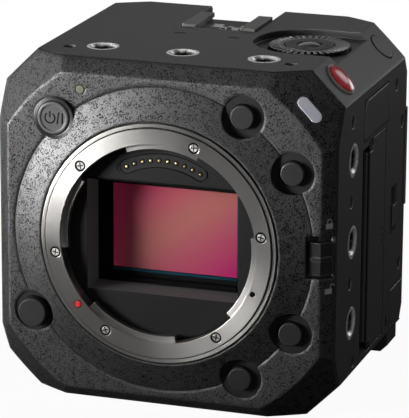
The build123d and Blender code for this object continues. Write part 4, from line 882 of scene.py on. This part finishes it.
sideGaps = {
    "boxes": (((33.2, 10.8), (49.4, 69.0)), ((28.0, 70.2), (51.2, 81.0)), ((57.0, 37.3), (61.6, 49.8))),
    "bars": (((56.8, 9.0), (57.3, 20.6)), ((56.8, 20.6), (69.0, 20.88)), ((56.8, 8.72), (69.0, 9.0))),
    "upright": 0.5 * mm, "level": 0.28 * mm, "relief": 0.015 * mm,
}


def makeSideGaps(made):
    pairs = []
    wide, tall = sideGaps["upright"], sideGaps["level"]
    for low, high in sideGaps["boxes"]:
        inner = sideRectangle(low, high)
        (left, foot), (right, top) = inner[0], inner[2]
        pairs.append((rectangle((left - wide, foot - tall), (right + wide, top + tall)), inner))
    addPaintedShade("side_gaps", bandMesh(pairs, sideGaps["relief"], sidePlane()), made)
    bars = [sideRectangle(low, high) for low, high in sideGaps["bars"]]
    addPaintedShade("low_cover_gap", reliefMesh(bars, sideGaps["relief"], sidePlane()), made)


# Painted shade: dark rings in the gaps round the buttons of both chamfers, and dark patches for the
# microphone slots

buttonGaps = {
    "right_button_gap": {"right": (0, 1, 0), "up": (-1, 0, 1), "x": 42, "depths": (59.5,),
                         "inner": 3.8, "outer": 4.15},
    "left_button_gaps": {"right": (0, -1, 0), "up": (1, 0, 1), "x": -42, "depths": (31.1, 45.8, 61.1),
                         "inner": 3.2, "outer": 3.5},
}
buttonPlane = {"height": 88.5 * mm, "relief": 0.02 * mm}
microphones = {"spots": ((-8.2, 38.2), (7.1, 37.4)), "halfLength": 1.6 * mm, "halfWidth": 0.4 * mm,
               "relief": 0.01 * mm}


def makeButtonGaps(made):
    for name, gap in buttonGaps.items():
        place = planeAt((gap["x"] * mm, frontFlat, buttonPlane["height"]), gap["right"], gap["up"])
        way = gap["right"][1]
        pairs = [[circleLine((way * depth * mm, 0), gap[side] * mm) for side in ("outer", "inner")]
                 for depth in gap["depths"]]
        addPaintedShade(name, bandMesh(pairs, buttonPlane["relief"], place), made)


def makeMicrophones(made):
    long, wide = microphones["halfLength"], microphones["halfWidth"]
    middles = [(x * mm, frontFlat + depth * mm) for x, depth in microphones["spots"]]
    slots = [rectangle((x - long, y - wide), (x + long, y + wide)) for x, y in middles]
    place = Matrix.Translation((0, 0, topFlat))
    addPaintedShade("microphone_slots", reliefMesh(slots, microphones["relief"], place), made)


# Painted shade along the upper edge of the sensor window, and the coloured edge of the glass

edges = {
    "window_top_shade": {"depth": 0.19, "box": ((-20.8, 61.3), (20.8, 61.85)), "look": "black_and_painted_shade"},
    "glass_edge_side": {"depth": 10.28, "box": ((17.35, 34.0), (18.15, 58.0)), "look": "edge_teal"},
    "glass_edge_low": {"depth": 10.28, "box": ((-17.3, 33.9), (18.15, 34.7)), "look": "edge_teal"},
}
edgeHeight = 0.02 * mm


def makeEdges(made):
    for name, edge in edges.items():
        low, high = [(x * mm, z * mm) for x, z in edge["box"]]
        mesh = reliefMesh([rectangle(low, high)], edgeHeight, frontPlane(edge["depth"] * mm))
        addPiece(name, mesh, made[edge["look"]], "body")


# The bent spring in the accessory shoe: sides along X, a path of depths and heights, a thickness

springArm = ((53.0, 90.5), (55.2, 91.35), (58.4, 91.5), (59.4, 90.9))
shoeStrips = [
    (-6.0, 6.0, ((47.8, 90.45), (60.0, 90.45)), 0.22),
    (-5.2, -2.3, springArm, 0.2),
    (2.9, 5.2, springArm, 0.2),
    (-1.0, 0.4, ((56.2, 90.5), (57.0, 91.2), (58.0, 91.2)), 0.2),
    (-2.1, -1.1, ((52.4, 90.5), (53.4, 91.1), (54.2, 91.1)), 0.2),
    (1.0, 2.2, ((52.4, 90.5), (53.4, 91.0), (54.6, 91.0)), 0.2),
]


def makeShoeSpring(made):
    spring = addPiece("bent_spring", stripMesh(shoeStrips), made["spring_steel"], "body")
    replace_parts(spring, "shoe_spring")


# Small marks on the card door

doorDots = {"depth": 47.3 * mm, "heights": (41.3, 39.4, 37.3), "radius": 0.4 * mm, "steps": 14,
            "relief": 0.02 * mm}


def makeDoorDots(made):
    depth, radius, steps = frontFlat + doorDots["depth"], doorDots["radius"], doorDots["steps"]
    outlines = [circleLine((depth, height * mm), radius, steps) for height in doorDots["heights"]]
    mesh = reliefMesh(outlines, doorDots["relief"], sidePlane())
    addPiece("door_dots", mesh, made["black_and_painted_shade"], "card_door")


# Threads in the inserts of the top, the sides and the base

threadSizes = {"pitch": 1.27 * mm, "turns": 4.4, "radius": 2.6 * mm, "ridge": 0.42 * mm,
               "inset": 0.95 * mm}
threadSteps = {"turn": 22, "ridge": 4}
insertRows = {"step": 22.2 * mm, "topDepth": 16.4 * mm, "sideDepth": 17.7 * mm, "sideHeight": 45.6 * mm,
              "baseY": 12 * mm}


def threadTree():
    tree, size = startTree("threads", threadSizes)
    rise = times(tree, size["pitch"], size["turns"])
    coil = put(tree, "GeometryNodeCurveSpiral", {
        "Resolution": threadSteps["turn"], "Rotations": size["turns"], "Start Radius": size["radius"],
        "End Radius": size["radius"], "Height": rise})
    inputs = {"Resolution": threadSteps["ridge"], "Radius": size["ridge"]}
    ridge = put(tree, "GeometryNodeCurvePrimitiveCircle", inputs)
    body = put(tree, "GeometryNodeCurveToMesh", {
        "Curve": coil.outputs[0], "Profile Curve": ridge.outputs["Curve"], "Fill Caps": True})
    drop = times(tree, calc(tree, "ADD", rise, size["inset"]), -1.0)
    return closeTree(tree, size, moved(tree, body.outputs[0], triple(tree, z=drop)))


def insertSpots():
    spots = []
    for step in (-1, 0, 1):
        over = step * insertRows["step"]
        spots.append(((over, frontFlat + insertRows["topDepth"], topFlat), (0, 0, 1)))
        for side in (-1, 1):
            height = insertRows["sideHeight"] + over
            spots.append(((side * sideFlat, frontFlat + insertRows["sideDepth"], height), (side, 0, 0)))
    for side in (-1, 1):
        spots.append(((0, side * insertRows["baseY"], 0), (0, 0, -1)))
    return spots


def makeThreads(made):
    steel = made["screw_steel"]
    growPiece("insert_threads", threadTree(), insertSpots(), threadSizes, steel)


# Signs: the power sign, padlocks and arrows

powerSign = {
    "radius": 1.55 * mm, "line": 0.36 * mm, "gap": 35, "shift": -0.9 * mm, "front": -1.1 * mm,
    "barLow": 0.15 * mm, "barRise": 0.2 * mm, "strokeX": 2.35 * mm, "strokeLow": -1.4 * mm,
    "strokeHigh": 1.5 * mm, "slash": ((0.95, -1.5), (1.25, -1.5), (1.75, 1.6), (1.45, 1.6)),
    "relief": 0.04 * mm,
}
padlock = {
    "width": 2.1 * mm, "height": 1.5 * mm, "shackle": 0.72 * mm, "line": 0.32 * mm, "legs": 1.6,
    "openShift": 0.55, "x": 44.75 * mm, "depth": 1.75 * mm, "relief": 0.04 * mm,
    "signs": (("closed_padlock", 54.9, False), ("open_padlock", 37.4, True)),     # heights
}
arrow = {"length": 1.0 * mm, "width": 1.7 * mm, "reach": 5.0 * mm, "level": 92.3 * mm,
         "relief": 0.06 * mm}


def makePowerSign(made):
    radius, line, gap, shift = [powerSign[key] for key in ("radius", "line", "gap", "shift")]
    strokeX = powerSign["strokeX"]
    ring = arcBand((shift, 0), radius - line, radius, 90 + gap, 450 - gap)
    barTop = radius + powerSign["barRise"]
    bar = rectangle((shift - line / 2, powerSign["barLow"]), (shift + line / 2, barTop))
    slash = [(x * mm, y * mm) for x, y in powerSign["slash"]]
    stroke = rectangle((strokeX, powerSign["strokeLow"]), (strokeX + line, powerSign["strokeHigh"]))
    place = frontPlane(powerSign["front"], *powerCentre)
    mesh = reliefMesh([ring, bar, slash, stroke], powerSign["relief"], place)
    addPiece("power_sign", mesh, made["black_and_painted_shade"], "power_button")


def padlockOutlines(opened):
    width, reach, line = padlock["width"], padlock["shackle"], padlock["line"]
    rise = line * padlock["legs"]
    shift = width * padlock["openShift"] if opened else 0
    case = rectangle((-width / 2, -padlock["height"]), (width / 2, 0))
    bow = arcBand((shift, rise), reach - line, reach, 0, 180, 16)
    legs = [rectangle((shift - reach, 0), (shift - reach + line, rise))]
    if not opened:
        legs.append(rectangle((shift + reach - line, 0), (shift + reach, rise)))
    return [case, bow] + legs


def makePadlocks(made):
    for name, height, opened in padlock["signs"]:
        place = planeAt((padlock["x"], frontFlat + padlock["depth"], height * mm), (1, 1, 0), (0, 0, 1))
        mesh = reliefMesh(padlockOutlines(opened), padlock["relief"], place)
        addPiece(name, mesh, made["label_white"], "body")


def makeArrows(made):
    half, reach, length = arrow["width"] / 2, arrow["reach"], arrow["length"]
    corners = ((reach + length / 2, 0), (reach - length / 2, half), (reach - length / 2, -half))
    outlines = []
    for quarter in range(4):
        c, s = math.cos(math.radians(90 * quarter)), math.sin(math.radians(90 * quarter))
        outlines.append([(x * c - y * s, x * s + y * c) for x, y in corners])
    place = Matrix.Translation(dialCentre + (arrow["level"],))
    mesh = reliefMesh(outlines, arrow["relief"], place)
    addPiece("cursor_arrows", mesh, made["label_black"], "cursor_ring")


# Floor and light

studio = {
    "floorTone": 0.86, "floorBounce": 0.06, "floorReach": 3.0, "floorDrop": 0.1 * mm,
    "floorGlow": 0.95, "glowFrom": 0.08, "glowTo": 0.35,
    "paperScale": 6, "paperDark": 0.99, "paperRoughness": 0.9, "paperGloss": 0.1,
    "bright": 0.07, "dim": 0.03, "brightSide": (-0.75, -0.45, 0.5), "leanLow": -0.6, "leanHigh": 0.9,
}
lamps = {
    "key": {"place": (-0.28, -0.22, 0.12), "aim": (-0.06, -0.037, 0.108), "size": 0.19, "power": 0.39,
            "spread": 44},            # degrees, where it isn't the usual 180
    "side": {"place": (-0.65, -0.12, 0.5), "aim": (0, 0, 0.07), "size": 0.25, "power": 0.36},
    "top": {"place": (-0.2, 0.7, 0.42), "aim": (0, 0, 0.09), "size": 0.5, "power": 0.2},
    "over": {"place": (0.22, -0.25, 0.75), "aim": (0, 0, 0.09), "size": 0.15, "power": 0.35},
    "back": {"place": (0.35, 0.58, 0.45), "aim": (0, 0, 0.06), "size": 0.35, "power": 0.5},
    "fill": {"place": (0.5, -0.6, 0.12), "aim": (0, 0, 0.05), "size": 0.3, "power": 0.8},
    "rear": {"place": (0.36, 0.8, 0.12), "aim": (0, 0, 0.05), "size": 0.3, "power": 0.55},
}


def makeFloor():
    # the camera sees pale paper with a soft shadow, and the camera body gets little light from it
    reach, tone = studio["floorReach"], studio["floorTone"]
    mesh = bpy.data.meshes.new("floor")
    corners = rectangle((-reach, -reach), (reach, reach))
    mesh.from_pydata([(x, y, -studio["floorDrop"]) for x, y in corners], [], [(0, 1, 2, 3)])
    floor = bpy.data.objects.new("floor", mesh)
    bpy.context.scene.collection.objects.link(floor)
    material, tree, place = startMaterial("floorPaper")
    cloud = noise(tree, place, studio["paperScale"], 2.0)
    paper = blendColour(tree, cloud, grey(tone * studio["paperDark"]), grey(tone))
    seen = put(tree, "ShaderNodeLightPath").outputs["Is Camera Ray"]
    dress(material, {
        "Base Color": blendColour(tree, seen, grey(studio["floorBounce"]), paper),
        "Roughness": studio["paperRoughness"], "Specular IOR Level": studio["paperGloss"]})
    away = calcVector(tree, "LENGTH", place)
    far = remap(tree, away, studio["glowFrom"], studio["glowTo"], studio["floorGlow"], 1.0)
    glow = put(tree, "ShaderNodeEmission", {"Color": (1, 1, 1, 1), "Strength": 1.0})
    inputs = {0: times(tree, far, seen), 1: shaderOf(material).outputs[0], 2: glow.outputs[0]}
    mixed = put(tree, "ShaderNodeMixShader", inputs)
    tree.links.new(mixed.outputs[0], tree.nodes["Material Output"].inputs["Surface"])
    mesh.materials.append(material)


def makeLamp(name, numbers):
    data = bpy.data.lights.new(name, "AREA")
    data.shape = "DISK"
    data.size = numbers["size"]
    data.energy = numbers["power"]
    data.spread = math.radians(numbers.get("spread", 180))
    lamp = bpy.data.objects.new(name, data)
    bpy.context.scene.collection.objects.link(lamp)
    lamp.location = numbers["place"]
    aim = Vector(numbers["aim"]) - Vector(numbers["place"])
    lamp.rotation_euler = aim.to_track_quat("-Z", "Y").to_euler()


def makeWorld():
    world = bpy.data.worlds.new("studio")
    world.use_nodes = True
    bpy.context.scene.world = world
    tree = world.node_tree
    way = put(tree, "ShaderNodeTexCoord").outputs["Generated"]
    lean = calcVector(tree, "DOT_PRODUCT", way, tuple(Vector(studio["brightSide"]).normalized()))
    soft = remap(tree, lean, studio["leanLow"], studio["leanHigh"], studio["dim"], studio["bright"])
    seen = put(tree, "ShaderNodeLightPath").outputs["Is Camera Ray"]
    level = put(tree, "ShaderNodeMix", {0: seen, 2: soft, 3: 1.0}).outputs[0]
    back = tree.nodes["Background"].inputs
    feed(tree, back["Color"], (1, 1, 1, 1))
    feed(tree, back["Strength"], level)


def makeStudio():
    makeFloor()
    makeWorld()
    for name, numbers in lamps.items():
        makeLamp(name, numbers)
    bpy.context.scene.view_settings.view_transform = "Standard"


def makeAll():
    makeCamera()
    made = makeMaterials()
    dressNodes(made)
    say("finishes are on the solids")
    makeScrews(made)
    makeThreads(made)
    say("screws and threads are in")
    makeContacts(made)
    makeShadeRings(made)
    makeEdges(made)
    say("contacts, rims and glass edges are in")
    makeSideGaps(made)
    makeButtonGaps(made)
    makeMicrophones(made)
    makeShoeSpring(made)
    makeDoorDots(made)
    say("gaps, slots and the shoe spring are in")
    makePowerSign(made)
    makePadlocks(made)
    makeArrows(made)
    say("signs are on")
    makeStudio()
    say("studio is ready")


makeAll()
